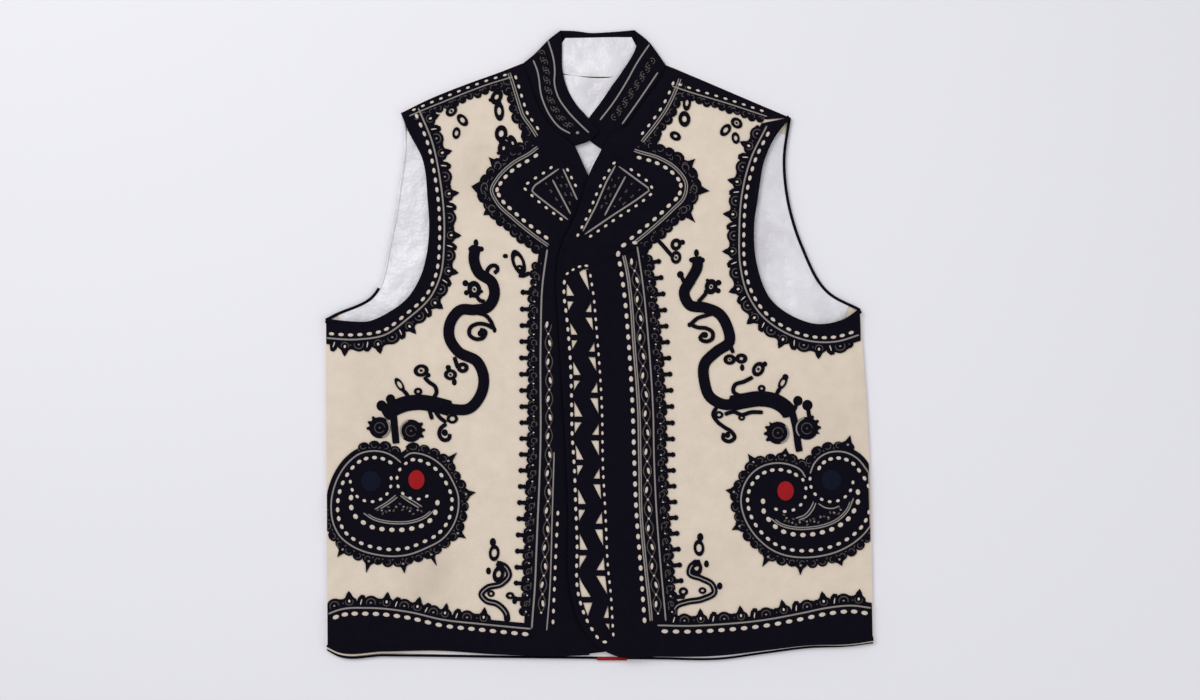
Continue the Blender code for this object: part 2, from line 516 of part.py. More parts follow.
def make_bands():
    """The black felt along the edges of both fronts."""
    felt_strip(
        "felt_armhole_right",
        [(-272, 24.5), (-246, 21.7), (-230.5, 21.7), (-208.6, 31), (-191, 43.8), (-176.4, 66.7), (-169.4, 93),
         (-167.4, 118), (-169, 145), (-174, 185), (-189.5, 215.5), (-194.5, 226)],
        [(-272, 0), (-241, -1.5), (-209.5, 4), (-186.5, 20), (-160.5, 46), (-152.5, 63), (-147.5, 104),
         (-147.5, 124), (-151.5, 165), (-159.5, 203), (-171, 229)],
        bed, reach=6.0, fine=(True, True),
    )
    felt_strip(
        "felt_armhole_left",
        [(259, 34), (244, 24.1), (230, 20), (216.5, 19.1), (196.7, 24.5), (168.5, 44.6), (156, 74), (151.8, 103),
         (152.3, 125), (155, 143), (157, 157), (162, 184), (181, 219), (184.5, 222.5)],
        [(260, 3.5), (237.5, -2), (220, -5), (191.5, 2), (169.5, 13), (151.5, 29), (139.5, 49), (134.5, 67),
         (131, 104), (132, 124), (135.5, 155), (141.5, 184), (161, 211)],
        lapped_bed, reach=6.0, fine=(True, True),
    )
    felt_strip(
        "felt_shoulder_right",
        [(-98, 271.4), (-131.5, 259.5), (-174.5, 242), (-190, 234)],
        [(-101, 263.5), (-131.5, 251.5), (-160, 240), (-177, 232.5)],
        bed, columns=3, fine=(True, False),
    )
    felt_strip(
        "felt_shoulder_left",
        [(91, 268), (140, 247), (187, 227)],
        [(92.5, 247), (131, 232.5), (168.5, 216.5)],
        bed, columns=6,
    )
    felt_strip(
        "felt_neck_right",
        [(-77, 279), (-72, 266.5), (-62, 238.8), (-55, 225.8), (-45, 213.7), (-35, 205)],
        [(-94.5, 270), (-91.5, 253), (-86.5, 237), (-78.5, 223), (-71.5, 210)],
        bed, fine=(True, False),
    )
    felt_strip(
        "felt_neck_left",
        [(67.5, 277), (63.3, 267.6), (53.3, 252.5), (42.2, 238), (32.3, 223.5), (22.8, 211.5), (5.5, 195)],
        [(88, 267), (84.5, 253), (74.5, 233), (61.5, 213), (46, 200.5)],
        lapped_bed, fine=(True, False),
    )
    felt_strip(
        "felt_breast_right",
        [(-29, 196.5), (-22.5, 184), (-15.8, 168), (-17.2, 153), (-21.3, 139), (-26.5, 126), (-32.5, 113.5),
         (-38.5, 100.5), (-43.4, 88.5)],
        [(-69, 206), (-83.5, 191), (-100, 178.5), (-112.5, 165), (-115, 154), (-108.5, 138), (-92.5, 122),
         (-72.5, 106), (-56.5, 93)],
        bed, columns=5, reach=6.0,
    )
    felt_strip(
        "felt_breast_left",
        [(5, 192.5), (-8.8, 167), (-12.8, 153.5), (-16.9, 140), (-21.8, 128), (-27.8, 116), (-33.8, 103),
         (-38.6, 88), (-40.5, 76)],
        [(40.5, 196.5), (61.5, 193), (81.5, 181), (93.5, 162), (91.5, 144), (76.5, 128), (60, 112), (50, 99),
         (45, 88)],
        lapped_bed, columns=8, reach=6.0,
    )
    felt_strip(
        "felt_column_right",
        [(-45, 83), (-44.8, 60), (-42.8, 25.5), (-37.4, -65.5), (-33.6, -162.5), (-32.6, -200), (-31.4, -259)],
        [(-65.5, 83), (-69.5, 60), (-72, -5), (-72.5, -64), (-76.5, -145), (-80.5, -235), (-82.5, -259)],
        bed, reach=6.0,
    )
    felt_strip(
        "felt_column_left",
        [(-11.5, 76), (-7, 25), (-0.5, -66), (3, -169), (6, -225), (9.5, -258)],
        [(39.5, 82), (39.5, 50), (40, 0), (40.5, -66), (42, -169), (46, -225), (50, -258)],
        lapped_bed, columns=8, pitch=24,
    )
    felt_strip(
        "braid_column_left",
        [(40.6, 82), (40.6, 50), (41, 0), (41.5, -66), (43, -169), (47, -225), (51, -258)],
        [(54, 85), (58, 50), (62.5, 0), (67, -66), (70.5, -169), (75, -225), (79, -258)],
        lapped_bed, columns=4, reach=7.0,
    )
    felt_strip(
        "felt_hem_right",
        [(-7.5, -305), (-39, -307.3), (-99, -305.8), (-165, -301.8), (-215, -302.8), (-262, -302.8),
         (-270.5, -300.5)],
        [(-26.8, -268.5), (-60, -267), (-85, -268), (-94, -271), (-119.5, -269), (-156, -265), (-190.5, -257),
         (-230, -253), (-259.5, -255), (-271.2, -261)],
        bed, reach=6.0, fine=(False, True), bare=(64.0, 24.0),
    )
    felt_strip(
        "felt_hem_left",
        [(16, -305.8), (60, -307.8), (120, -306.8), (164, -301.8), (207, -296.8), (250, -295.3), (271, -293)],
        [(16, -261), (50, -260.5), (90.5, -265), (120.5, -266), (161.5, -262), (202.5, -254), (227.5, -249),
         (253.5, -247), (270, -250)],
        lapped_bed, reach=6.0, fine=(False, True), bare=(76.0, 24.0),
    )
    felt_strip(
        "felt_edge_left",
        [(-41.1, 72), (-39.1, 25.5), (-33.6, -65.5), (-29.1, -162.5), (-26.1, -249.5), (-20.6, -269.5),
         (-11.2, -286), (3.3, -300.4), (14, -305.8)],
        [(-30.5, 72), (-31, 25.5), (-25, -66), (-20.5, -163), (-17.5, -250), (-12.5, -264), (-4.5, -279),
         (6.5, -291), (14, -292)],
        lapped_bed, columns=2, pitch=12,
    )


def make_vines():
    """The waved vine of the centre panel and the two climbing vines."""
    centre = np.array([(-22.5, 66), (-16, -14), (-12.5, -66), (-8.5, -169), (-5, -226), (-1, -270)])
    period, sway, width = 44.0, 6.6, 6.5
    length = run(centre)
    count = round(length / period * 6)
    shares = even(count + 1)
    way = curve(centre, shares)
    waved = beside(way, sway * np.sin(2 * np.pi * shares * length / period))
    stroke("vine_centre", waved, width, lapped_bed, shares=shares)
    stroke(
        "vine_right",
        [(-123, 102), (-125, 86), (-120.5, 73), (-107, 62), (-104.5, 51), (-111, 38), (-124.5, 35),
         (-137.5, 35), (-148.5, 22), (-149.5, 8), (-140.5, -6), (-121.5, -17), (-115.5, -31), (-117.5, -48),
         (-129.5, -62.5), (-151.5, -63), (-164.5, -59), (-195, -59), (-203.5, -66)],
        9.4, bed,
    )
    stroke(
        "vine_left",
        [(97, 91), (97.5, 79), (90.5, 65), (84, 52), (89.5, 40), (105.5, 37), (119, 31), (127, 18), (129, 3),
         (116.5, -6), (104.5, -19), (104.5, -37), (109.5, -51), (123, -59), (145.5, -55), (170.5, -53),
         (182.5, -61), (187, -68)],
        9.4, bed,
    )
    stroke("sprig_right", [(-107, -198), (-104, -212), (-99, -224), (-106, -236), (-117, -245), (-107, -257)], 7.0,
           bed, pitch=6)
    stroke("sprig_left", [(99, -194), (96.5, -210), (95, -224), (102, -236), (109, -243), (101, -253)], 7.0,
           bed, pitch=6)


def make_medallions():
    """The two spiral medallions with their eyes, and the rosettes above them."""
    felt_strip(
        "medallion_right",
        [(-269, -163), (-262, -193), (-242.5, -210), (-214.5, -216), (-189.5, -214), (-161.5, -203),
         (-141.5, -182), (-133, -160)],
        [(-269, -137), (-261, -113), (-241.5, -102), (-221.5, -103.5), (-202.5, -112), (-186, -104),
         (-169.5, -100), (-147.5, -111), (-133, -140)],
        bed, columns=6, reach=0.0, fine=(True, False), also=4.5,
    )
    felt_strip(
        "medallion_left",
        [(135, -168), (141.5, -184), (158.5, -204), (180.5, -215), (200.5, -218), (225.5, -215),
         (248.5, -205), (262.5, -188), (267.5, -162)],
        [(135, -141), (147.5, -118), (168.5, -108), (190.5, -111), (205.5, -117), (220.5, -106), (242.5, -102),
         (259, -112), (267, -135)],
        bed, columns=6, reach=0.0, fine=(False, True), also=4.5,
    )
    on_felt = lambda x, y: bed(x, y) + WOOL + LAY + FELT + 0.35
    on_wool = lambda x, y: bed(x, y) + WOOL + LAY
    # Columns: name, x, y, half width, half height, material
    spots = (
        ("eye_blue_right", -226.5, -134.5, 9.5, 10.0, blue_felt),
        ("eye_red_right", -182.0, -134.0, 8.5, 10.0, red_felt),
        ("eye_red_left", 186.0, -145.0, 8.5, 9.5, red_felt),
        ("eye_blue_left", 233.0, -133.5, 9.5, 10.0, blue_felt),
    )
    for name, x, y, half_width, half_height, material in spots:
        disc(name, x, y, half_width, half_height, on_felt, 0.9, material)
    # Columns: name, x, y, radius
    rosettes = (
        ("rosette_outer_right", -218, -83.5, 9.6),
        ("rosette_inner_right", -187.5, -85, 9.4),
        ("rosette_inner_left", 178.5, -86, 10.2),
        ("rosette_outer_left", 207, -82, 11.0),
    )
    for name, x, y, radius in rosettes:
        disc(name, x, y, radius, radius, on_wool, FELT, black_felt)


clear_scene()
cream_wool = cloth("cream_wool", CREAM, 0.95)
black_felt = cloth("black_felt", BLACK, 0.95)
satin = cloth("satin", WHITE, 0.35)
red_felt = cloth("red_felt", RED, 0.9)
blue_felt = cloth("blue_felt", BLUE, 0.95)

back = make_back()
make_lining()
right_front = make_front("front_right", EDGE_RIGHT, NECK_SEAM_RIGHT, SIDE_RIGHT, ARMHOLE_RIGHT, HEM_RIGHT,
                         SHOULDER_RIGHT, bed, ramp=False, dips=UNDERARM_DIPS_RIGHT)
left_front = make_front("front_left", EDGE_LEFT, NECK_SEAM_LEFT, SIDE_LEFT, ARMHOLE_LEFT, HEM_LEFT, SHOULDER_LEFT,
                        lapped_bed, ramp=True, dips=UNDERARM_DIPS_LEFT)
make_collar(right_front, left_front)
make_bindings(back, right_front, left_front)
make_bands()
make_vines()
make_medallions()
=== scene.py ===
# %% [markdown]
# # A folk vest, laid flat
# The real vest is thick cream felted wool, cut as one back and two fronts and lined with white satin.
# Black felt bands, scalloped braid, climbing vines and two spiral medallions are sewn on the fronts.
# It lies on its back on a table, so this lesson builds it as a stack of thin layers.
# Heights are worked out from the place on the garment, so each trimming follows the cloth below it.

# %% Load the solid model
import math

import bpy
import numpy as np
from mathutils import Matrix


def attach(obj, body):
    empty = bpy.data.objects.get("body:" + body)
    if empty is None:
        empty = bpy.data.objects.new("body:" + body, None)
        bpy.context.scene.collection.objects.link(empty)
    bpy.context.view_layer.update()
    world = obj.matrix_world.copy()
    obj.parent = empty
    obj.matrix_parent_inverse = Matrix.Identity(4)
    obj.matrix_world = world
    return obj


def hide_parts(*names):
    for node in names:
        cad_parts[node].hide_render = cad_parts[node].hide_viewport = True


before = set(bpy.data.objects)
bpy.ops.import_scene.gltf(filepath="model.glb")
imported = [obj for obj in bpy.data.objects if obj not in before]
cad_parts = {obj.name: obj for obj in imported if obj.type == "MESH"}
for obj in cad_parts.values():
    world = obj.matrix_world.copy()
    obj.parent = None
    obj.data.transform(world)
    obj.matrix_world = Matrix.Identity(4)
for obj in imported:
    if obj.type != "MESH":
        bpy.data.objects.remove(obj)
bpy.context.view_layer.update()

print("solid pieces:", len(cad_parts))

# %% [markdown]
# ## Sizes of the cloth
# Everything is in millimetres on the garment: x to the right, y up to the collar, z off the table.
# Thick wool, thin satin and firm felt differ most in thickness, so those are the first named sizes.
# Left and right are the wearer's, so the left front is at +x.

# %% Sizes of the cloth
MM = 0.001
WOOL, SATIN, COLLAR, FELT = 2.4, 1.0, 3.0, 1.6
SEAM, RIM = 0.3, 1.6
LINING_LOW = WOOL + SEAM
LINING_TOP = LINING_LOW + SATIN
FRONT_LOW = LINING_TOP + SEAM
FRONT_LAP, COLLAR_LAP = WOOL + 0.35, COLLAR + 0.35
SIDE_ROLL, SHOULDER_ROLL, FOLD_ROLL = 14.0, 18.0, 7.0
LAP_RAMP, LAP_START, LAP_RISE = 36.0, 201.0, 34.0
CROSS_X, CROSS_Y, CROSS_FULL, CROSS_FREE = -7.5, 214.0, 17.0, 30.0

# Photo place of the garment's middle: one pixel of it is one millimetre of cloth
MIDDLE_X, MIDDLE_Y = 599.5, 345.25

# Columns: y, x on the right side, x on the left side
SIDES = np.array([(-305, -271.5, 273.0), (-95, -272.5, 268.5), (30, -273.0, 260.0)])

# Columns from here on: x, y
SHOULDER_RIGHT = [(-76.5, 281), (-99.5, 272), (-131.5, 260.5), (-174.5, 243), (-196.5, 232)]
SHOULDER_LEFT = [(66.5, 279), (95.5, 267), (140, 248), (189.5, 227)]
SIDE_RIGHT = [(-271.5, -303), (-272.5, -95), (-273, 25)]
SIDE_LEFT = [(273, -296), (268.5, -95), (260, 35)]
BACK_HEM = [
    (-271.5, -303), (-262, -308.5), (-215, -309), (-165, -309.5), (-99, -310.5), (0, -311.5), (60, -312),
    (120, -312.3), (164, -306.5), (207, -301), (250, -299), (273, -296),
]
BACK_ARMHOLE_RIGHT = [
    (-273, 25), (-265.5, 29), (-226.5, 48), (-207.5, 107), (-199.5, 153), (-194, 212), (-196.5, 232),
]
BACK_ARMHOLE_LEFT = [(260, 35), (228.5, 52), (201.5, 99), (187.5, 146), (184, 184), (189.5, 227)]
BACK_NECK = [(-76.5, 281), (-40, 271), (0, 267), (40, 271), (66.5, 279)]
LINING_TOP_EDGE = [
    (-193.5, 211), (-100, 249.5), (-62, 265.5), (-40, 269.7), (0, 266.2), (40, 269.7), (57, 263),
    (95, 245.5), (184, 206.5),
]
LINING_HEM = [
    (-257, -306), (-165, -308.3), (-99, -309.5), (0, -310.7), (60, -311.3), (120, -311.6), (164, -305.9),
    (207, -300.4), (256, -298),
]
COLLAR_TOP = [(-38.5, 314.3), (-24, 313.8), (-9.5, 312), (8, 312.6), (34.5, 314.7)]
FOLD_RIGHT = [(-76.5, 281), (-65.5, 289.9), (-50, 305.5), (-38.5, 314.3)]
FOLD_LEFT = [(66.5, 279), (59.5, 289), (49.7, 302), (34.5, 314.7)]
NECK_SEAM_RIGHT = [
    (-76.5, 281), (-71.5, 267), (-61.5, 239), (-54.5, 226), (-44.5, 214), (-33.5, 205), (-25.5, 198),
]
NECK_SEAM_LEFT = [
    (66.5, 279), (62.5, 268), (52.5, 253), (41.5, 238.5), (31.5, 224), (22, 212), (3.5, 194.5),
]
COLLAR_EDGE_RIGHT = [
    (-38.5, 314.3), (-37.5, 302), (-36.5, 272), (-31.5, 254.5), (-23, 240), (-11, 226), (-0.5, 213),
]
COLLAR_EDGE_LEFT = [(34.5, 314.7), (37, 306), (22, 272), (12, 258), (2.5, 244), (-11, 226), (-18.5, 215)]
COLLAR_END_RIGHT = [(-25.5, 198), (-9.5, 204), (-0.5, 213)]
COLLAR_END_LEFT = [(3.5, 194.5), (-9.5, 204), (-18.5, 215)]
EDGE_RIGHT = [
    (24.5, -303), (24.5, 5), (22.5, 55), (16.5, 95), (6.5, 125), (-3.5, 149), (-13.5, 167), (-21.5, 185),
    (-27.5, 198),
]
EDGE_LEFT = [
    (14, -306.5), (3, -301), (-11.5, -286.5), (-21, -269.5), (-26.5, -249.5), (-29.5, -162.5),
    (-34, -65.5), (-39.5, 25.5), (-41.5, 70.5), (-39.5, 87.5), (-34.5, 102.5), (-22.5, 127.5),
    (-13.5, 153.5), (-9.5, 167.5), (3.5, 194.5),
]
HEM_RIGHT = [
    (24.5, -303), (-10, -307), (-39, -308), (-99, -306.5), (-165, -302.5), (-215, -303.5), (-262, -303.5),
    (-271.5, -299),
]
HEM_LEFT = [
    (14, -306.5), (60, -308.5), (120, -307.5), (164, -302.5), (207, -297.5), (250, -296), (273, -293),
]
ARMHOLE_RIGHT = [
    (-273, 25), (-246, 22.2), (-230.5, 22.2), (-209, 31.5), (-191.5, 44.3), (-177, 67), (-170, 93),
    (-168, 118), (-169.5, 145), (-174.5, 185), (-190, 216), (-196.5, 232),
]
ARMHOLE_LEFT = [
    (260, 35), (244, 24.7), (230, 20.5), (216.5, 19.6), (197, 25), (169, 45), (156.5, 74), (152.3, 103),
    (152.8, 125), (155.5, 143), (157.5, 157), (162.5, 184), (181.5, 219), (189.5, 227),
]
# Where the right front's hidden edge runs below the left front. Columns: y, x
HIDDEN_EDGE = np.array([
    (-309, 24.5), (5, 24.5), (55, 22.5), (95, 16.5), (125, 6.5), (149, -3.5), (167, -11.5), (185, -19.5),
    (198, -25.5),
])

# Swells and troughs of the fronts. Columns: x, y, half length, half width, turn in degrees, height
SWELLS = [
    (-120, 150, 60, 70, 0, 1.8), (-170, -30, 80, 70, 0, 2.2), (-150, -210, 90, 50, 0, 1.6),
    (110, 150, 55, 70, 0, 1.8), (170, -20, 80, 75, 0, 2.2), (160, -210, 80, 50, 0, 1.6),
    (0, -60, 60, 200, 0, 0.8), (-124, 180, 45, 20, 74, -1.4), (-167, -240, 40, 18, 100, -1.2),
    (-227, -46, 60, 18, 59, -0.9), (230, -57, 60, 18, -60, -0.9),
]

# Finer creases that only the cloth's looks need. Columns: x, y, half length, half width, turn, height
CREASES = [
    (-118, 198, 30, 7, 80, -0.5), (-146, 172, 34, 9, 68, -0.35), (-160, -252, 26, 7, 112, -0.5),
    (-178, -238, 22, 7, 96, -0.35), (-228, -46, 46, 7, 59, -0.45), (233, -62, 44, 7, -58, -0.45),
    (118, 196, 34, 9, -70, -0.3), (140, -246, 30, 8, 80, -0.3), (-95, 20, 40, 12, 75, -0.25),
    (105, -110, 45, 12, 100, -0.25),
]

# %% [markdown]
# ## Lines on the cloth
# A dressmaker's pattern is a few measured points joined by smooth curves.
# Each curve here passes through its table's points and is then divided by length, not by point.
# Equal steps along the cloth are what dots, scallops and stitches need.

# %% Lines on the cloth
def measured(line):
    """Distance along a line of points: the running sum of its steps, from 0 at its first point."""
    return np.concatenate([[0], np.cumsum(np.hypot(*np.diff(line, axis=0).T))])


def on_line(line, at):
    """Points at the given distances along a line."""
    length = measured(line)
    return np.stack([np.interp(at, length, line[:, 0]), np.interp(at, length, line[:, 1])], -1)


def smooth(rows, pitch=1.5):
    """Evenly spaced points of a smooth curve: between two rows the cubic that keeps the slopes at both."""
    knots = np.array(rows, float)
    chord = measured(knots)
    slopes = np.gradient(knots, chord, axis=0)
    along = np.linspace(0, chord[-1], 30 * len(rows))
    k = np.clip(np.searchsorted(chord, along, side="right") - 1, 0, len(rows) - 2)
    span = (chord[k + 1] - chord[k])[:, None]
    s = (along - chord[k])[:, None] / span
    dense = (
        (1 + 2 * s) * (1 - s) ** 2 * knots[k]
        + s * (1 - s) ** 2 * span * slopes[k]
        + s * s * (3 - 2 * s) * knots[k + 1]
        + s * s * (s - 1) * span * slopes[k + 1]
    )
    total = measured(dense)[-1]
    return on_line(dense, np.linspace(0, total, max(3, int(total / pitch) + 1)))


def shared(rows, fractions):
    """Points at shares of the length of a smooth curve."""
    line = smooth(rows, 1.0)
    return on_line(line, np.asarray(fractions) * measured(line)[-1])


def photo(rows):
    """Places read off the photo, turned into places on the garment."""
    spots = np.array(rows, float)
    return np.stack([spots[..., 0] - MIDDLE_X, MIDDLE_Y - spots[..., 1]], -1)


def at_photo(x, y):
    """The same for one place."""
    return photo([(x, y)])[0]


def straight(rows, count):
    """Evenly spaced points of the straight stretches between places of the photo."""
    line = photo(rows)
    return on_line(line, np.linspace(0, measured(line)[-1], count))


def leftward(line):
    """Unit arrows to the left of the way a line runs."""
    way = np.gradient(line, axis=0)
    way /= np.maximum(np.hypot(*way.T), 1e-9)[:, None]
    return np.stack([-way[:, 1], way[:, 0]], 1)


def beside(line, distance):
    """The line moved to the left of the way it runs, by one distance or one for each point."""
    return line + leftward(line) * np.broadcast_to(distance, len(line))[:, None]


def evenly(line, pitch, start=0.0, stop=0.0):
    """Distances along a line, equally spaced and as near to the pitch as fits."""
    total = measured(line)[-1] - start - stop
    count = max(1, round(total / pitch))
    return start + (np.arange(count) + 0.5) * total / count


print("length of the left armhole: %.0f mm" % measured(smooth(ARMHOLE_LEFT))[-1])

# %% [markdown]
# ## How high the cloth lies
# The fronts rest on the back at the seams and bulge a little over the lining between them.
# The left front climbs over the edge of the right one, and one collar half over the other.
# Soft bell-shaped troughs stand for the creases that thick wool keeps after folding.

# %% How high the cloth lies
def step(t):
    """Rises smoothly from 0 at 0 to 1 at 1."""
    t = np.clip(t, 0, 1)
    return t * t * (3 - 2 * t)


def bells(x, y, table):
    """Sum of long bell-shaped swells: height times e to the minus half the squared scaled distance."""
    total = np.zeros(np.shape(x))
    for cx, cy, half_length, half_width, turn, height in table:
        c, s = math.cos(math.radians(turn)), math.sin(math.radians(turn))
        along = (x - cx) * c + (y - cy) * s
        across = (y - cy) * c - (x - cx) * s
        total += height * np.exp(-0.5 * ((along / half_length) ** 2 + (across / half_width) ** 2))
    return total


def line_gap(x, y, rows):
    """Distance to the left of the straight line from a table's first row to its last."""
    (x0, y0), (x1, y1) = rows[0], rows[-1]
    return ((x1 - x0) * (y - y0) - (y1 - y0) * (x - x0)) / math.hypot(x1 - x0, y1 - y0)


def inside(x, y):
    """0 at the side and shoulder seams, 1 past their rolls."""
    side = np.minimum(x - np.interp(y, SIDES[:, 0], SIDES[:, 1]),
                      np.interp(y, SIDES[:, 0], SIDES[:, 2]) - x)
    shoulder = np.where(x < 0, -line_gap(x, y, SHOULDER_RIGHT[::-1]), -line_gap(x, y, SHOULDER_LEFT))
    return step(side / SIDE_ROLL) * step(shoulder / SHOULDER_ROLL)


def bed(x, y):
    """Height of a front's underside."""
    ripple = 0.12 * np.sin(x / 23 + 1.5 * np.sin(y / 61)) * np.sin(y / 37 + x / 90)
    swell = np.maximum(bells(x, y, SWELLS) + bells(x, y, CREASES) + ripple, 0)
    return LINING_LOW + (FRONT_LOW - LINING_LOW + swell) * inside(x, y)


def lapped_bed(x, y):
    """The same for the left front, which rises over the right one."""
    hidden = np.interp(y, HIDDEN_EDGE[:, 0], HIDDEN_EDGE[:, 1])
    rise = step((hidden + 2 + LAP_RAMP - x) / LAP_RAMP) * step((LAP_START - y) / LAP_RISE)
    return bed(x, y) + FRONT_LAP * rise


def collar_bed(x, y):
    """Height of a collar half's underside, low at its fold."""
    gap = np.where(x < 0, line_gap(x, y, FOLD_RIGHT[::-1]), line_gap(x, y, FOLD_LEFT))
    return LINING_LOW + (FRONT_LOW - LINING_LOW) * step(np.abs(gap) / FOLD_ROLL)


def crossed_collar_bed(x, y):
    """The same for the half that lies over the other where they cross."""
    away = np.hypot(x - CROSS_X, y - CROSS_Y)
    return collar_bed(x, y) + COLLAR_LAP * step((CROSS_FREE - away) / (CROSS_FREE - CROSS_FULL))


def table_bed(x, y):
    """Height of the table, 0 at every place."""
    return np.zeros(np.shape(x))


# Wool's upper side of each piece that carries trimming
def right_wool(x, y):
    return bed(x, y) + WOOL


def left_wool(x, y):
    return lapped_bed(x, y) + WOOL


def right_collar(x, y):
    return crossed_collar_bed(x, y) + COLLAR


def left_collar(x, y):
    return collar_bed(x, y) + COLLAR


print("wool at the middle of the left front: %.1f mm high" % left_wool(*np.array([[120.0], [0.0]]))[0])

# %% [markdown]
# ## Cutting cloth
# A panel is a grid of points between its four edges: straight lines from edge to edge, bent like the hems.
# The lower and upper faces share that grid, which keeps the wool equally thick everywhere.
# Felt is cut as flat shapes, and each of its points takes the height of the wool right below it.

# %% Cutting cloth
# How much of its softness each of the two outermost rings of a panel's upper side drops
RIM_DROPS = (1.0, 0.3)
SHARP_DEGREES = 50


def wall_mesh(name, grid, low, high, soft=0.8):
    """A closed wall over a grid of points, with its upper rim rounded down."""
    low = np.array(low, float)
    high = np.array(high, float)
    for ring, drop in enumerate(RIM_DROPS):
        rim = np.zeros(high.shape, bool)
        rim[ring:high.shape[0] - ring, ring:high.shape[1] - ring] = True
        rim[ring + 1:high.shape[0] - ring - 1, ring + 1:high.shape[1] - ring - 1] = False
        high[rim] -= soft * drop
    middle, turned = grid[-1, -1] - grid[0, 0], grid[0, -1] - grid[-1, 0]
    if middle[0] * -turned[1] + middle[1] * turned[0] < 0:
        grid, low, high = grid[:, ::-1], low[:, ::-1], high[:, ::-1]
    rows, columns = high.shape
    count = rows * columns
    points = np.concatenate([np.dstack([grid, low]).reshape(-1, 3), np.dstack([grid, high]).reshape(-1, 3)])
    at = np.arange(count).reshape(rows, columns)
    corners = [at[:-1, :-1], at[:-1, 1:], at[1:, 1:], at[1:, :-1]]
    lower = np.stack(corners[::-1], -1).reshape(-1, 4)
    upper = np.stack(corners, -1).reshape(-1, 4) + count
    rim = np.concatenate([at[0], at[1:, -1], at[-1, -2::-1], at[-2:0:-1, 0]])
    after = np.roll(rim, -1)
    sides = np.stack([rim, after, after + count, rim + count], -1)
    return finished(name, points, np.concatenate([lower, upper, sides]))


def finished(name, points, faces):
    """A smooth-shaded object from points in millimetres and faces of equal or mixed sizes."""
    mesh = bpy.data.meshes.new(name)
    mesh.from_pydata((np.asarray(points) * MM).tolist(), [], [list(map(int, face)) for face in faces])
    mesh.update()
    mesh.shade_smooth()
    mesh.set_sharp_from_angle(angle=math.radians(SHARP_DEGREES))
    piece = bpy.data.objects.new(name, mesh)
    bpy.context.scene.collection.objects.link(piece)
    return piece


def bow(rows, shares):
    """How far a curve leaves the straight line between its ends."""
    u = np.asarray(shares)[:, None]
    return shared(rows, shares) - (np.array(rows[0]) * (1 - u) + np.array(rows[-1]) * u)


def panel(left, right, bottom, top, across):
    """Grid between four edges: lines from left to right, plus the bows of the bottom and top ones."""
    up = measured((left + right) / 2)
    up /= up[-1]
    u = across[..., None]
    straight = left[:, None] * (1 - u) + right[:, None] * u
    grid = straight.copy()
    for row, v in enumerate(up):
        grid[row] += (1 - v) * bow(bottom, across[row]) + v * bow(top, across[row])
    return grid


def finer(shares, times):
    """A row of shares with each step cut into equal smaller ones."""
    shares = np.asarray(shares, float)
    return np.interp(np.linspace(0, len(shares) - 1, (len(shares) - 1) * times + 1), np.arange(len(shares)),
                     shares)


def cloth_area(grid):
    """Area of a panel in square metres, laid flat: half the cross product of each cell's diagonals."""
    a, b = grid[1:, 1:] - grid[:-1, :-1], grid[1:, :-1] - grid[:-1, 1:]
    return float(np.abs(a[..., 0] * b[..., 1] - a[..., 1] * b[..., 0]).sum() / 2 * MM * MM)


print("a panel's rim is rounded over its two outermost rings by", RIM_DROPS, "of its softness")

# %% [markdown]
# ## Trimmings that follow the cloth
# A trimming is a crowd of small flat shapes, all of one material, that share one object.
# Each shape is a stack of closed rings: its foot in the wool, its shoulder, and a smaller ring on top.
# Two felt faces in exactly the same plane would flicker, so each shape is a hair higher than the last.

# %% Trimmings that follow the cloth
# How far from the side seam trimming stays, and how far past that line still counts as on the cloth
SIDE_MARGIN, SIDE_SLACK = 0.6, 0.3
# Hair of height between shapes of a piece, how many heights there are, and hair between pieces
HAIR, HAIRS, HAIR_BETWEEN = 0.03, 5, 0.007
# Share of a bevel's width that it drops, and least share of a shape that stays flat inside it
BEVEL_DROP, FLAT_SHARE = 0.7, 0.2
# Rings of a dome: share of its width, share of its height
DOME_RINGS = ((0.75, 0.7), (0.35, 1.0))


def within(places):
    """Places moved in from past the side seams, so that no trimming hangs off the cloth."""
    x, y = places[..., 0], places[..., 1]
    first = np.interp(y, SIDES[:, 0], SIDES[:, 1]) + SIDE_MARGIN
    last = np.interp(y, SIDES[:, 0], SIDES[:, 2]) - SIDE_MARGIN
    return np.stack([np.clip(x, first, last), y], -1)


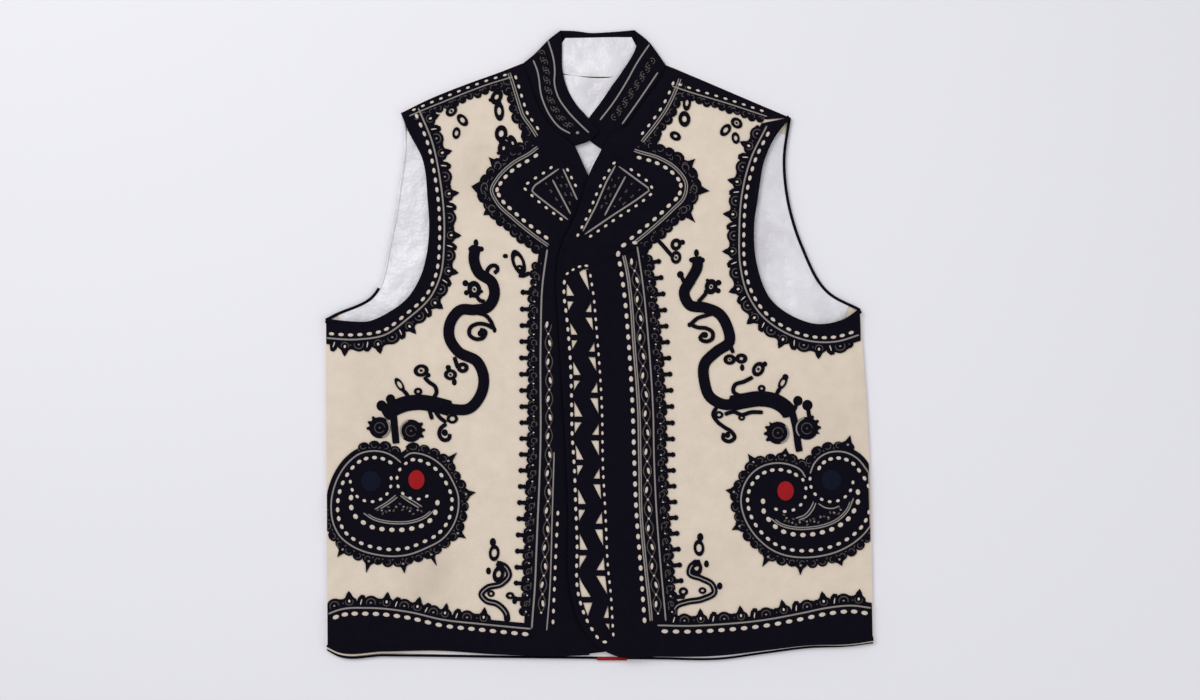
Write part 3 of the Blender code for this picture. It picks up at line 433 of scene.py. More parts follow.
class Trim:
    """Flat shapes of one material that follow a surface, gathered into one object.

    Each shape stands from low to high over the surface, in millimetres.
    """

    def __init__(self, surface, low=0.0, high=FELT, on_front=False):
        self.surface, self.low, self.high, self.on_front = surface, low, high, on_front
        self.points, self.faces, self.count = [], [], 0

    def past_side(self, place):
        """Whether a small thing would lie past the side seam and is left off."""
        place = np.asarray(place, float)
        return self.on_front and abs(within(place) - place).max() > SIDE_SLACK

    def lift(self):
        """A hair of extra height by turns, so that no two shapes lie in exactly one plane."""
        return HAIR * (len(self.points) % HAIRS)

    def put(self, points, faces):
        """Adds points and the faces that join them."""
        self.points.append(points)
        self.faces.extend((face + self.count for face in faces))
        self.count += len(points)

    def raised(self, places, height):
        """Places on the garment with their heights over the surface."""
        if self.on_front:
            places = within(places)
        return np.dstack([places, self.surface(places[..., 0], places[..., 1]) + height])

    def rings(self, rings, closed_top=True):
        """Skins a stack of equal closed rings, each an array of points, and fans the last one."""
        sides = len(rings[0])
        k = np.arange(sides)
        after = (k + 1) % sides
        faces = []
        for level in range(len(rings) - 1):
            base = level * sides
            faces.extend(np.stack([k + base, after + base, after + base + sides, k + base + sides], 1))
        points = np.concatenate(rings)
        if closed_top:
            top = (len(rings) - 1) * sides
            points = np.concatenate([points, rings[-1].mean(0, keepdims=True)])
            faces.extend(np.stack([k + top, after + top, np.full(sides, top + sides)], 1))
        self.put(points, faces)

    def shape(self, outline, bevel=0.5):
        """One shape with a soft edge from its outline, which may bulge but not hook."""
        high = self.high + self.lift()
        outline = np.asarray(outline, float)
        nxt = np.roll(outline, -1, 0)
        if (outline[:, 0] * nxt[:, 1] - outline[:, 1] * nxt[:, 0]).sum() < 0:
            outline = outline[::-1]
        centre = outline.mean(0)
        if self.past_side(centre):
            return
        reach = np.maximum(np.hypot(*(outline - centre).T), 1e-6)[:, None]
        inner = centre + (outline - centre) * np.maximum(FLAT_SHARE, 1 - bevel / reach)
        self.rings([
            self.raised(outline[None], self.low)[0],
            self.raised(outline[None], high - bevel * BEVEL_DROP)[0],
            self.raised(inner[None], high)[0],
        ])

    def dot(self, place, half_width, half_length, turn=0.0, dome=0.25, sides=12):
        """A small domed oval, its length turned from the x axis by an angle in radians."""
        if self.past_side(place):
            return
        a = np.arange(sides) * 2 * math.pi / sides
        c, s = math.cos(turn), math.sin(turn)
        along, across = half_length * np.cos(a), half_width * np.sin(a)
        ring = np.stack([along * c - across * s, along * s + across * c], 1)
        rings = [self.raised((place + ring)[None], self.low)[0]]
        for share, rise in DOME_RINGS:
            rings.append(self.raised((place + ring * share)[None], self.high + dome * rise)[0])
        self.rings(rings)

    def strip(self, a, b, bevel=0.5, steps=2):
        """A long shape between two lines of equally many points, with soft long edges."""
        if len(a) < 2:
            return
        width = np.maximum(np.hypot(*(b - a).T), 1e-6)[:, None]
        share = np.minimum(bevel / width, 0.3)
        high = self.high + self.lift()
        lines, heights = [a, a], [self.low, high - bevel * BEVEL_DROP]
        for t in np.linspace(0, 1, steps + 1):
            lines.append(a + (b - a) * (share + (1 - 2 * share) * t))
            heights.append(high)
        lines += [b, b]
        heights += [high - bevel * BEVEL_DROP, self.low]
        grid = np.stack([self.raised(line[None], h)[0] for line, h in zip(lines, heights)], 1)
        rows, columns = grid.shape[:2]
        at = np.arange(rows * columns).reshape(rows, columns)
        quads = np.stack([at[:-1, :-1], at[:-1, 1:], at[1:, 1:], at[1:, :-1]], -1).reshape(-1, 4)
        way, out = a[len(a) // 2] - a[len(a) // 2 - 1], b[len(a) // 2] - a[len(a) // 2]
        ends = [at[-1], at[0, ::-1]]
        if way[0] * out[1] - way[1] * out[0] > 0:
            quads = quads[:, ::-1]
            ends = [at[-1, ::-1], at[0]]
        self.put(grid.reshape(-1, 3), list(quads) + ends)

    def braid(self, line, width, ends=0.5):
        """A narrow cord or felt strip along a line, with tapered ends."""
        line = np.asarray(line, float)
        if self.on_front:
            line = line[np.abs(within(line) - line).max(-1) < SIDE_SLACK]
        if len(line) < 2:
            return
        half = np.full(len(line), width / 2)
        half[[0, -1]] *= ends
        self.strip(beside(line, half), beside(line, -half), bevel=min(0.45, width * 0.25), steps=1)

    def made(self, name, material, *replaced):
        """The gathered shapes as one object, which may stand for a solid."""
        piece = finished(name, np.concatenate(self.points), self.faces)
        piece.data.materials.append(material)
        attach(piece, "root")
        if replaced:
            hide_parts(*replaced)
        return piece


print("heights of felt shapes, in turn:", [round(FELT + HAIR * turn, 2) for turn in range(HAIRS)])

# %% [markdown]
# ## What the cloths look like
# Felted wool is matt and faintly mottled, with short fibres that catch the light at its edges.
# Satin is smooth and shows its folds as broad soft glints, with painted shade darkening its colour in them.
# Each finish is noise measured in metres on the garment, so it stays fixed to the cloth.

# %% What the cloths look like
class Value:
    """A node's output, so that shader maths reads like ordinary sums."""

    def __init__(self, shader, socket):
        self.shader, self.socket = shader, socket

    def maths(self, operation, first, second):
        node = self.shader.tree.nodes.new("ShaderNodeMath")
        node.operation = operation
        for place, value in enumerate((first, second)):
            self.shader.feed(node.inputs[place], value)
        return Value(self.shader, node.outputs[0])

    def __add__(self, other):
        return self.maths("ADD", self, other)

    def __radd__(self, other):
        return self.maths("ADD", other, self)

    def __sub__(self, other):
        return self.maths("SUBTRACT", self, other)

    def __rsub__(self, other):
        return self.maths("SUBTRACT", other, self)

    def __mul__(self, other):
        return self.maths("MULTIPLY", self, other)

    def __rmul__(self, other):
        return self.maths("MULTIPLY", other, self)


class Shader:
    """A material under construction, with its Principled surface."""

    def __init__(self, name, **settings):
        self.material = bpy.data.materials.new(name)
        self.material.use_nodes = True
        self.tree = self.material.node_tree
        self.surface = self.tree.nodes["Principled BSDF"]
        for socket, value in settings.items():
            self.surface.inputs[socket.replace("_", " ")].default_value = value

    def feed(self, socket, value):
        if isinstance(value, Value):
            self.tree.links.new(value.socket, socket)
        else:
            socket.default_value = value

    def node(self, kind, settings=None, output=0, **sockets):
        """A node of any type, its settings, and its sockets by name."""
        node = self.tree.nodes.new("ShaderNode" + kind)
        for key, value in (settings or {}).items():
            setattr(node, key, value)
        for key, value in sockets.items():
            self.feed(node.inputs[key.replace("_", " ")], value)
        return Value(self, node.outputs[output])

    def place(self):
        return self.node("TexCoord", output=3)

    def noise(self, scale, detail=3.0, roughness=0.5):
        return self.node("TexNoise", Vector=self.place(), Scale=scale, Detail=detail, Roughness=roughness)

    def blend(self, share, first, second):
        """A colour between two others."""
        node = self.tree.nodes.new("ShaderNodeMix")
        node.data_type = "RGBA"
        for place, value in ((0, share), (6, first), (7, second)):
            self.feed(node.inputs[place], value)
        return Value(self, node.outputs[2])

    def patches(self, table):
        """Sum of soft round patches of painted shade: depth times the square of 1 minus distance over
        radius.
        """
        total = 0.0
        for x, y, radius, depth in table:
            away = self.node("VectorMath", {"operation": "DISTANCE"}, output=1, Vector=self.place())
            away.socket.node.inputs[1].default_value = (x, y, PAINTED_SHADE_HEIGHT)
            near = self.node("Clamp", Value=1 - away * (1 / radius))
            total = total + near * near * depth
        return total

    def colour(self, value):
        self.feed(self.surface.inputs["Base Color"], value)

    def bump(self, height, strength, distance):
        self.feed(self.surface.inputs["Normal"],
                  self.node("Bump", Height=height, Strength=strength, Distance=distance))


print("materials before the first cloth:", len(bpy.data.materials))

# %% [markdown]
# ## Felt and satin
# A felt's two tones lie close together, and the lighter one wins where the noise is high.
# The shade of the creases is painted into the wool's colour as a few soft dark round patches.

# %% Felt and satin
def felted(name, light, dark, sheen, coarse=70.0, fuzz=0.5, gloss=0.2, painted_shade=()):
    """Matt felt: two close tones mixed by cloudy noise, with a fibrous bump and soft painted shade in its
    colour.
    """
    shader = Shader(name, Roughness=0.95, Sheen_Weight=sheen, Sheen_Roughness=0.5, Specular_IOR_Level=gloss)
    cloud = shader.noise(coarse, 4.0) * 0.7 + shader.noise(900.0, 2.0) * 0.3
    tone = shader.blend(cloud, (*dark, 1), (*light, 1))
    # Painted shade: where the creases lie, the colour is blended towards a dark tone
    if painted_shade:
        tone = shader.blend(shader.patches(painted_shade), tone, PAINTED_SHADE_TONE)
    shader.colour(tone)
    shader.bump(shader.noise(1300.0, 3.0) * 0.6 + shader.noise(350.0, 3.0), fuzz, 0.0006)
    return shader.material


# Painted shade of the creases, as soft dark patches in the wool's colour. Columns: x, y, radius in metres,
# depth
CREASE_PAINTED_SHADE = (
    (-0.160, -0.218, 0.045, 0.15), (-0.168, -0.238, 0.050, 0.15), (-0.178, -0.258, 0.045, 0.12),
    (-0.121, 0.192, 0.045, 0.10), (-0.130, 0.168, 0.050, 0.10), (-0.215, -0.070, 0.080, 0.10),
    (0.236, -0.080, 0.075, 0.10), (0.100, -0.235, 0.070, 0.08),
)
# Height in metres of the centres of the painted shade's patches, and the dark tone painted there as shade
PAINTED_SHADE_HEIGHT = 0.006
PAINTED_SHADE_TONE = (0.16, 0.12, 0.09, 1)

# Light tone, dark tone, sheen, and how coarse the noise is (patches to the metre)
cream_wool = felted("wool", (0.80, 0.69, 0.57), (0.60, 0.505, 0.405), 0.25, painted_shade=CREASE_PAINTED_SHADE)
# Wool seen through the felt's holes, painted darker than the open wool as shade in the recess
hole_wool_painted_shade = felted("wool_in_hole_painted_shade", (0.74, 0.645, 0.55), (0.45, 0.385, 0.32), 0.1, 200.0)
black_felt = felted("black_felt", (0.0055, 0.0045, 0.0095), (0.0022, 0.0018, 0.0045), 0.0, 120.0,
                    gloss=0.06)
red_felt = felted("red_felt", (0.40, 0.009, 0.012), (0.22, 0.005, 0.007), 0.03, 200.0)
blue_felt = felted("blue_felt", (0.0075, 0.0090, 0.021), (0.0045, 0.006, 0.014), 0.0, 200.0, gloss=0.06)
grey_braid = felted("grey_braid", (0.34, 0.31, 0.29), (0.17, 0.155, 0.14), 0.05, 500.0, fuzz=0.8)
dull_thread = felted("dull_thread", (0.115, 0.088, 0.085), (0.03, 0.031, 0.025), 0.0, 200.0, fuzz=0.8)

# Painted shade: the satin's colour darkens where its fold and crinkle noise is low, the same noise that
# bumps it
SATIN_PAINTED_SHADE, SATIN_LIGHT = (0.52, 0.50, 0.53, 1), (0.88, 0.87, 0.90, 1)
satin_shader = Shader("satin", Roughness=0.36, Sheen_Weight=0.1, Specular_IOR_Level=0.5)
fold = satin_shader.noise(17.0, 2.0, 0.45)
crinkle = satin_shader.noise(75.0, 3.0, 0.5)
satin_shader.colour(satin_shader.blend(fold * 1.6 + crinkle * 0.3 - 0.45, SATIN_PAINTED_SHADE, SATIN_LIGHT))
satin_shader.bump(fold + crinkle * 0.25, 1.0, 0.012)
satin = satin_shader.material
print("materials:", ", ".join(material.name for material in bpy.data.materials))

# %% [markdown]
# ## The garment's panels
# The back lies flat, its lining above it and both fronts over that, the wearer's left one on top.
# Rows of points run from the hem to the shoulder and crowd where the cloth rolls over a seam.
# A closed wall of real thickness gives the wool its soft rounded edge.

# %% The garment's panels
EDGE_LEVEL = 0.655
FRONT_LOWER = np.array([
    0, 0.037, 0.075, 0.117, 0.165, 0.225, 0.3, 0.385, 0.47, 0.56, 0.65, 0.74, 0.83, 0.92, 1,
])
FRONT_EDGE = np.array([0, 0.05, 0.1, 0.17, 0.26, 0.35, 0.44, 0.53, 0.62, 0.7, 0.77, 0.83, 0.89, 0.945, 1])
FRONT_NECK = np.array([0, 0.28, 0.56, 0.81, 0.86, 0.9, 0.95, 0.986, 1])
FRONT_ARM = np.array([
    0, 0.02, 0.05, 0.09, 0.14, 0.2, 0.26, 0.32, 0.38, 0.44, 0.5, 0.555, 0.61, 0.66, 0.71, 0.78, 0.86,
    0.932, 0.951, 0.966, 0.982, 0.995, 1,
])
# How far each row above the underarm dips at its outer end, to follow the armhole down
UNDERARM_DIPS_RIGHT = (0, 4, 12, 10.5, 9, 6.5, 3.5, 1.5, 0.5, 0)
UNDERARM_DIPS_LEFT = (0, 7, 21, 18.5, 16, 12.5, 7.5, 2.5, 0.5, 0)
# A dip grows with the fourth power of the share across and fades out again at the very edge
DIP_FULL, DIP_FADE = 0.85, 0.12
FINER, RIM_CELL = 4, 1.2


def even(columns, rows):
    """Evenly spaced shares from 0 to 1, the same in every row."""
    return np.tile(np.linspace(0, 1, columns), (rows, 1))


def joined(*pieces):
    """Lines end to end, without the doubled points."""
    return np.concatenate([pieces[0]] + [piece[1:] for piece in pieces[1:]])


def front(name, edge, seam, side, armhole, hem, shoulder, surface, columns, dips):
    """A front panel, its grid and its object."""
    inner = joined(shared(edge, EDGE_LEVEL * finer(FRONT_LOWER, FINER)),
                   shared(edge, EDGE_LEVEL + (1 - EDGE_LEVEL) * finer(FRONT_EDGE, FINER)),
                   shared(seam[::-1], finer(FRONT_NECK, FINER)))
    outer = joined(shared(side, finer(FRONT_LOWER, FINER)), shared(armhole, finer(FRONT_ARM, FINER)))
    widths = np.hypot(*(outer - inner).T)[:, None]
    u = np.linspace(0, 1, columns)[None]
    near = RIM_CELL / widths
    across = near + (1 - 2 * near) * u
    across = np.hstack([np.zeros_like(near), across, np.ones_like(near)])
    grid = panel(inner, outer, hem, shoulder, across)
    for row, dip in enumerate(finer(dips, FINER), (len(FRONT_LOWER) - 3) * FINER):
        fade = np.minimum(1, (1 - across[row]) / DIP_FADE)
        grid[row, :, 1] -= dip * (across[row] / DIP_FULL) ** 4 * fade
    low = surface(grid[..., 0], grid[..., 1])
    piece = wall_mesh(name, grid, low, low + WOOL, soft=0.7)
    piece.data.materials.append(cream_wool)
    return dressed(piece, name), grid


def dressed(piece, node):
    """Lets a piece stand for its solid and follow the garment."""
    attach(piece, "root")
    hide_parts(node)
    return piece


def level_wall(name, grid, low, thick, material, soft=0.4):
    """A flat panel of even thickness."""
    heights = np.full(grid.shape[:2], float(low))
    piece = wall_mesh(name, grid, heights, heights + thick, soft)
    piece.data.materials.append(material)
    return dressed(piece, name)


right_front, right_grid = front(
    "front_right", EDGE_RIGHT, NECK_SEAM_RIGHT, SIDE_RIGHT, ARMHOLE_RIGHT, HEM_RIGHT, SHOULDER_RIGHT,
    bed, 80, UNDERARM_DIPS_RIGHT,
)
left_front, left_grid = front(
    "front_left", EDGE_LEFT, NECK_SEAM_LEFT, SIDE_LEFT, ARMHOLE_LEFT, HEM_LEFT, SHOULDER_LEFT,
    lapped_bed, 90, UNDERARM_DIPS_LEFT,
)

low_rows, arm_rows = np.linspace(0, 1, 30), np.linspace(0, 1, 50)
back_left = joined(shared(SIDE_RIGHT, low_rows), shared(BACK_ARMHOLE_RIGHT, arm_rows))
back_right = joined(shared(SIDE_LEFT, low_rows), shared(BACK_ARMHOLE_LEFT, arm_rows))
back_top = SHOULDER_RIGHT[::-1] + BACK_NECK[1:-1] + SHOULDER_LEFT
back_grid = panel(back_left, back_right, BACK_HEM, back_top, even(90, len(back_left)))
back = level_wall("back", back_grid, 0, WOOL, cream_wool)

# The lining stops short of the side seams, and of the armholes' edges, by these lengths
LINING_INSET, LINING_GAP = 14.8, 0.2
# Share of the side seam that it runs up, and of the armhole that it follows
LINING_SIDE, LINING_ARM = 0.985, (0.055, 0.92)
LINING_REST, LINING_THICK = LINING_LOW - 0.2, SATIN + 0.1
lining_side_right = shared([(x + LINING_INSET, y) for x, y in SIDE_RIGHT], low_rows * LINING_SIDE)
lining_side_left = shared([(x - LINING_INSET, y) for x, y in SIDE_LEFT], low_rows * LINING_SIDE)
lining_side_right[0], lining_side_left[0] = LINING_HEM[0], LINING_HEM[-1]
upper = np.linspace(*LINING_ARM, 50)
lining_left = np.concatenate([lining_side_right, beside(shared(BACK_ARMHOLE_RIGHT, upper), -LINING_GAP)])
lining_right = np.concatenate([lining_side_left, beside(shared(BACK_ARMHOLE_LEFT, upper), LINING_GAP)])
lining_top = [tuple(lining_left[-1])] + LINING_TOP_EDGE[1:-1] + [tuple(lining_right[-1])]
lining_grid = panel(lining_left, lining_right, LINING_HEM, lining_top, even(90, len(lining_left)))
lining = level_wall("back_lining", lining_grid, LINING_REST, LINING_THICK, satin)
print("cloth of one front: %.3f square metres" % cloth_area(left_grid))

# %% [markdown]
# ## The low collar
# The stand collar is folded outwards flat: its back half shows its lining, its front halves show the felt.
# The right half crosses over the left one at the throat, so it rises there like the lapped front.

# %% The low collar
COLLAR_ROWS = 14
BACK_NECK_GAP = 0.6
collar_rows = np.linspace(0, 1, COLLAR_ROWS)
collar_back_grid = panel(shared(FOLD_RIGHT, collar_rows), shared(FOLD_LEFT, collar_rows),
                         [(x, y + BACK_NECK_GAP) for x, y in BACK_NECK], COLLAR_TOP, even(50, COLLAR_ROWS))
collar_back = level_wall("collar_back", collar_back_grid, 0, WOOL, black_felt)
lining_ends = (
    shared([(-57, 277.5), (-49, 287), (-41, 297), (-34, 306.6)], collar_rows),
    shared([(48, 275.5), (43, 286), (37.5, 297), (32, 307.4)], collar_rows),
)
collar_lining_grid = panel(*lining_ends, [(-57, 277.5), (-40, 272), (0, 268), (40, 272), (48, 275.5)],
                           [(-34, 306.6), (-9.5, 307), (8, 307.4), (32, 307.4)], even(50, COLLAR_ROWS))
collar_lining = level_wall(
    "collar_back_lining", collar_lining_grid, LINING_REST, LINING_THICK, satin)


def collar_half(name, fold, edge, seam, end, surface):
    """One folded half of the collar, from its inner edge to the neck seam."""
    along = np.linspace(0, 1, 60)
    inner, outer = shared(edge, along), shared(seam, along)
    grid = panel(inner, outer, fold, end[::-1], even(26, 60))
    low = surface(grid[..., 0], grid[..., 1])
    piece = wall_mesh(name, grid, low, low + COLLAR, soft=1.0)
    piece.data.materials.append(black_felt)
    return dressed(piece, name), grid


collar_right, collar_right_grid = collar_half(
    "collar_right", FOLD_RIGHT[::-1], COLLAR_EDGE_RIGHT, NECK_SEAM_RIGHT, COLLAR_END_RIGHT,
    crossed_collar_bed,
)
collar_left, collar_left_grid = collar_half(
    "collar_left", FOLD_LEFT[::-1], COLLAR_EDGE_LEFT, NECK_SEAM_LEFT, COLLAR_END_LEFT, collar_bed,
)
print("collar halves:", len(collar_right.data.polygons), "and", len(collar_left.data.polygons), "faces")

# %% [markdown]
# ## Edges bound in black
# Every raw edge of the wool is wrapped in a folded black binding a few millimetres wide.
# It hides the cut edge, so it stands a little higher than the felt that runs up to it.

# %% Edges bound in black
RIM_OVER = 3.0


def binding(name, rows, out, surface, material=black_felt, over=RIM_OVER, low=-WOOL, high=FELT + 0.5,
            wide=RIM):
    """A folded edging along a panel's edge; out is 1 where outside is left of the way it runs."""
    trim = Trim(surface, low, high)
    line = smooth(rows, 3.0)
    trim.strip(beside(line, out * wide), beside(line, -out * over), bevel=0.9, steps=2)
    return trim.made(name, material, name)


left_edge_rows = HEM_LEFT[:0:-1] + EDGE_LEFT
# Where the red tab starts and stops along the hem, and how the back's edgings stand on the table
HEM_TAB = (-2.5, 27.5)
ON_ARMHOLE = {"surface": table_bed, "over": 1.2, "low": 0, "high": LINING_TOP + 0.9}
ON_HEM = {"surface": table_bed, "over": 0.6, "low": 0, "high": LINING_TOP + 0.5}
ON_TAB = {"surface": table_bed, "over": 0.4, "low": 0, "high": LINING_TOP + 0.3, "wide": 2.9}
bindings = {
    "left": [
        binding("binding_front_left", left_edge_rows, 1, left_wool),
        binding("binding_armhole_left", ARMHOLE_LEFT, -1, left_wool),
    ],
    "right": [
        binding("binding_front_right", EDGE_RIGHT[4:], 1, right_wool),
        binding("binding_hem_right", [(x, y) for x, y in HEM_RIGHT if x < -9], 1, right_wool),
        binding("binding_armhole_right", ARMHOLE_RIGHT, 1, right_wool),
    ],
    "back": [
        binding("binding_back_armhole_right", BACK_ARMHOLE_RIGHT, 1, **ON_ARMHOLE),
        binding("binding_back_armhole_left", BACK_ARMHOLE_LEFT, -1, **ON_ARMHOLE),
        binding("binding_back_hem_right",
                [(x, y) for x, y in BACK_HEM if x < HEM_TAB[0]] + [(HEM_TAB[0], -311.5)], -1, **ON_HEM),
        binding("binding_back_hem_left",
                [(HEM_TAB[1], -311.8)] + [(x, y) for x, y in BACK_HEM if x > HEM_TAB[1]], -1, **ON_HEM),
        binding("hem_tab", [(HEM_TAB[0], -311.6), (12, -311.7), (HEM_TAB[1], -311.8)], -1,
                material=red_felt, **ON_TAB),
    ],
}
# The back's edging shows its white side above the underarm on the wearer's right
BARE_EDGE_Y = 0.057
edging = bindings["back"][0].data
edging.materials.append(satin)
for face in edging.polygons:
    face.material_index = int(face.center.y > BARE_EDGE_Y)
print("bindings:", sum(len(pieces) for pieces in bindings.values()))

# %% [markdown]
# ## Motifs placed along a border
# Each border has a grey braid with a row of cream beads on one side and felt lobes on the other.
# A motif is drawn once, in distances along and out from the braid, and bent to follow it.
# The braid's course is a few places read off the photo, in its pixels.

# %% Motifs placed along a border
class Border:
    """A line on the cloth with places measured along it and out from it."""

    def __init__(self, line, out):
        self.line, self.out, self.length = line, out, measured(line)[-1]

    def at(self, rows, start=0.0, flip=1):
        """Places from rows of distance along and distance out."""
        rows = np.asarray(rows, float)
        along = start + flip * rows[:, 0]
        spots = on_line(self.line, along)
        way = on_line(self.line, along + 1) - on_line(self.line, along - 1)
        way /= np.maximum(np.hypot(*way.T), 1e-9)[:, None]
        past = (along - np.clip(along, 0, self.length))[:, None]
        return spots + past * way + self.out * rows[:, 1:] * np.stack([-way[:, 1], way[:, 0]], 1)

    def nearest(self, place):
        """Distance along the border of its point nearest a place."""
        gaps = np.hypot(*(self.line - np.asarray(place)).T)
        return measured(self.line)[gaps.argmin()]

    def reach(self, place):
        """Distance along to the point nearest a place, and the place's distance from it."""
        along = self.nearest(place)
        return along, np.hypot(*(self.at([(0, 0)], along)[0] - place))

    def turn(self, along):
        """Angle of the border at a distance along it."""
        way = on_line(self.line, [along + 1])[0] - on_line(self.line, [along - 1])[0]
        return math.atan2(way[1], way[0])


def circle(x, y, radius, sides=14, tall=1.0):
    """Corners of a round or oval outline."""
    a = np.arange(sides) * 2 * math.pi / sides
    return np.stack([x + radius * np.cos(a), y + radius * tall * np.sin(a)], 1)


def arc(x, y, radius, start, stop, sides=9):
    """Points of a part of a circle between two angles in degrees."""
    a = np.radians(np.linspace(start, stop, sides))
    return np.stack([x + radius * np.cos(a), y + radius * np.sin(a)], 1)


def above(line, row):
    """The part of a line that lies above a row of the photo."""
    return line[line[:, 1] > MIDDLE_Y - row]


print("a test circle of radius 10 is %.1f long round its corners" % measured(circle(0, 0, 10))[-1])

# %% [markdown]
# ## Felt, beads and braids of one front
# Each front keeps three crowds for its whole surface: cream beads, grey braids and dull threads.
# Its black felt is gathered afresh for each border, since each of those is a piece of its own.
# The numbers in a motif are millimetres along and out from the braid, drawn as on squared paper.

# %% Felt, beads and braids of one front
# Onion-shaped spike and leaning petal. Columns: along, out
SPIKE = [
    (-8, -1), (-7.6, 4.5), (-6.4, 8.6), (-3.2, 11), (-2, 14), (0, 17), (2, 14), (3.2, 11), (6.4, 8.6),
    (7.6, 4.5), (8, -1),
]
PETAL = [(-4.5, -1), (-4.2, 5), (-2.6, 10), (0.3, 13), (3.8, 12.3), (4.8, 7), (4.2, 2), (3.5, -1)]
# How much fuller buds are than the places read for them, and how far a motif stays from a border's ends
BUD_FULLNESS, END_ROOM = 1.2, 3


class Front:
    """The trimmings of one panel: black felt by node, and beads and braids over all of them."""

    def __init__(self, side, surface):
        self.side, self.surface = side, surface
        self.cream = Trim(surface, FELT - 0.3, FELT + 0.35, True)
        self.grey = Trim(surface, FELT - 0.3, FELT + 0.5, True)
        self.dull = Trim(surface, FELT - 0.3, FELT + 0.3, True)
        self.pieces = []

    def felt(self):
        return Trim(self.surface, -0.25, FELT + HAIR_BETWEEN * len(self.pieces), True)

    def made(self, felt, name):
        self.pieces.append(felt.made(name, black_felt, name))

    def beads(self, border, out, pitch, half_width=1.6, half_length=2.7, start=2.0, stop=2.0):
        for along in evenly(border.line, pitch, start, stop):
            self.cream.dot(border.at([(0, out)], along)[0], half_width, half_length, border.turn(along))

    def lobes(self, felt, border, spikes, first=0.0, last=None):
        """Felt lobes between spikes: a slanting petal, a round lobe and a small bump in each gap."""
        ends = sorted(border.nearest(spot) for spot in spikes)
        gap = (ends[-1] - ends[0]) / (len(ends) - 1)
        last = border.length if last is None else last
        stations = [ends[0] - gap] + ends + [ends[-1] + gap]
        for start, stop in zip(stations[:-1], stations[1:]):
            for share, motif in ((0, self.spike), (0.3, self.petal), (0.58, self.lobe), (0.83, self.bump)):
                along = start + share * (stop - start)
                if first + END_ROOM < along < last - END_ROOM:
                    motif(felt, border, along)

    def spike(self, felt, border, along):
        """An onion-shaped lobe with a thorn, a cream drop and a small ring in it."""
        felt.shape(border.at(SPIKE, along), 0.5)
        self.cream.shape(border.at(circle(0, 7.0, 1.1, 8, 1.4), along), 0.3)
        self.dull.braid(border.at(arc(0, 6.5, 3.6, 150, 390), along), 0.9)

    def petal(self, felt, border, along):
        """A leaning petal with a cream slit."""
        felt.shape(border.at(PETAL, along), 0.5)
        self.cream.braid(border.at([(-0.2, 3.2), (0.3, 5.4), (1.2, 8.6)], along), 1.3)

    def lobe(self, felt, border, along):
        """A round lobe with a curl of grey thread round a bead."""
        felt.shape(border.at(circle(0, 4.6, 7.6, 18), along), 0.5)
        for side in (-1, 1):
            felt.shape(border.at(circle(side * 5.6, 7.6, 2.6, 8), along), 0.4)
        self.dull.braid(border.at(arc(0, 5.0, 4.4, -20, 200), along), 1.1)
        self.grey.dot(border.at([(0, 5.2)], along)[0], 1.0, 1.3, sides=8)

    def bump(self, felt, border, along):
        """A small bump with a bead."""
        felt.shape(border.at(circle(0, 5.2, 4.6, 12), along), 0.4)
        self.dull.dot(border.at([(0, 5.5)], along)[0], 0.9, 0.9, sides=8)

    def scallops(self, felt, border, reach, radius, pitch, start=0.0, stop=0.0):
        """Small round scallops side by side, each with a curl of thread and a dot beside it."""
        for k, along in enumerate(evenly(border.line, pitch, start, stop)):
            lift = 0.9 * math.sin(k * 2.1)
            felt.shape(border.at(circle(0, reach - radius + lift, radius, 12), along), 0.4)
            side = 1 if k % 2 else -1
            turn = 60 * (k % 4)
            curl = arc(0, reach - radius - 0.5, radius * 0.5, 20 + turn, 190 + turn)
            self.dull.braid(border.at(curl, along, side), 0.8)
            place = border.at([(side * pitch * 0.4, reach * 0.3)], along)[0]
            self.dull.dot(place, 0.8, 1.2, border.turn(along) + k, sides=8)

    def thorn(self, felt, border, along, base, tip, half):
        """A pointed spike on a border."""
        waist = base + (tip - base) * 0.5
        felt.shape(border.at([(-half, base), (-half * 0.4, waist), (0, tip), (half * 0.4, waist),
                              (half, base)], along), 0.4)

    def pegs(self, felt, border, pitch, base, tip, start, stop):
        """Small felt bars that stand out like a comb, round at their ends."""
        for along in evenly(border.line, pitch, start, stop):
            half = [(2.3, base), (1.9, tip - 2.6), (2.7, tip - 1), (2.0, tip + 1)]
            rows = [(-x, y) for x, y in half] + [(0, tip + 1.9)] + half[::-1]
            felt.shape(border.at(rows, along), 0.4)

    def chain(self, line, swing, pitch=9.4, start=2.0, stop=2.0):
        """Leaning cream drops and small dots by turns, with two dull threads that twist round them."""
        border = Border(line, 1)
        stations = evenly(line, pitch, start, stop)
        for k, along in enumerate(stations):
            place = border.at([(0, 1.1 * (k % 4 - 1) if k % 2 == 0 else 0)], along)[0]
            if k % 2 == 0:
                self.cream.dot(place, 1.6, 3.7, border.turn(along) + 0.2 * (k % 4 - 1), sides=10)
            else:
                self.cream.dot(place, 1.2, 1.3, sides=8)
        along = np.linspace(stations[0], stations[-1], 5 * len(stations))
        wave = swing * np.cos((along - stations[0]) / (stations[1] - stations[0]) * math.pi / 2)
        for side in (-1, 1):
            self.dull.braid(border.at(np.stack([along, side * wave], 1)), 1.1)

    def band(self, felt, edge, border, out, steps=3):
        """Felt from a panel's edge to a border's braid and a little past it."""
        shares = np.linspace(0, 1, max(8, int(border.length / 4)))
        a = on_line(edge, shares * measured(edge)[-1])
        b = border.at(np.stack([shares * border.length, np.full(len(shares), out)], 1))
        felt.strip(a, b, 0.5, steps)

    def braid(self, border, out=0.0, width=1.6):
        self.grey.braid(beside(border.line, border.out * out), width)

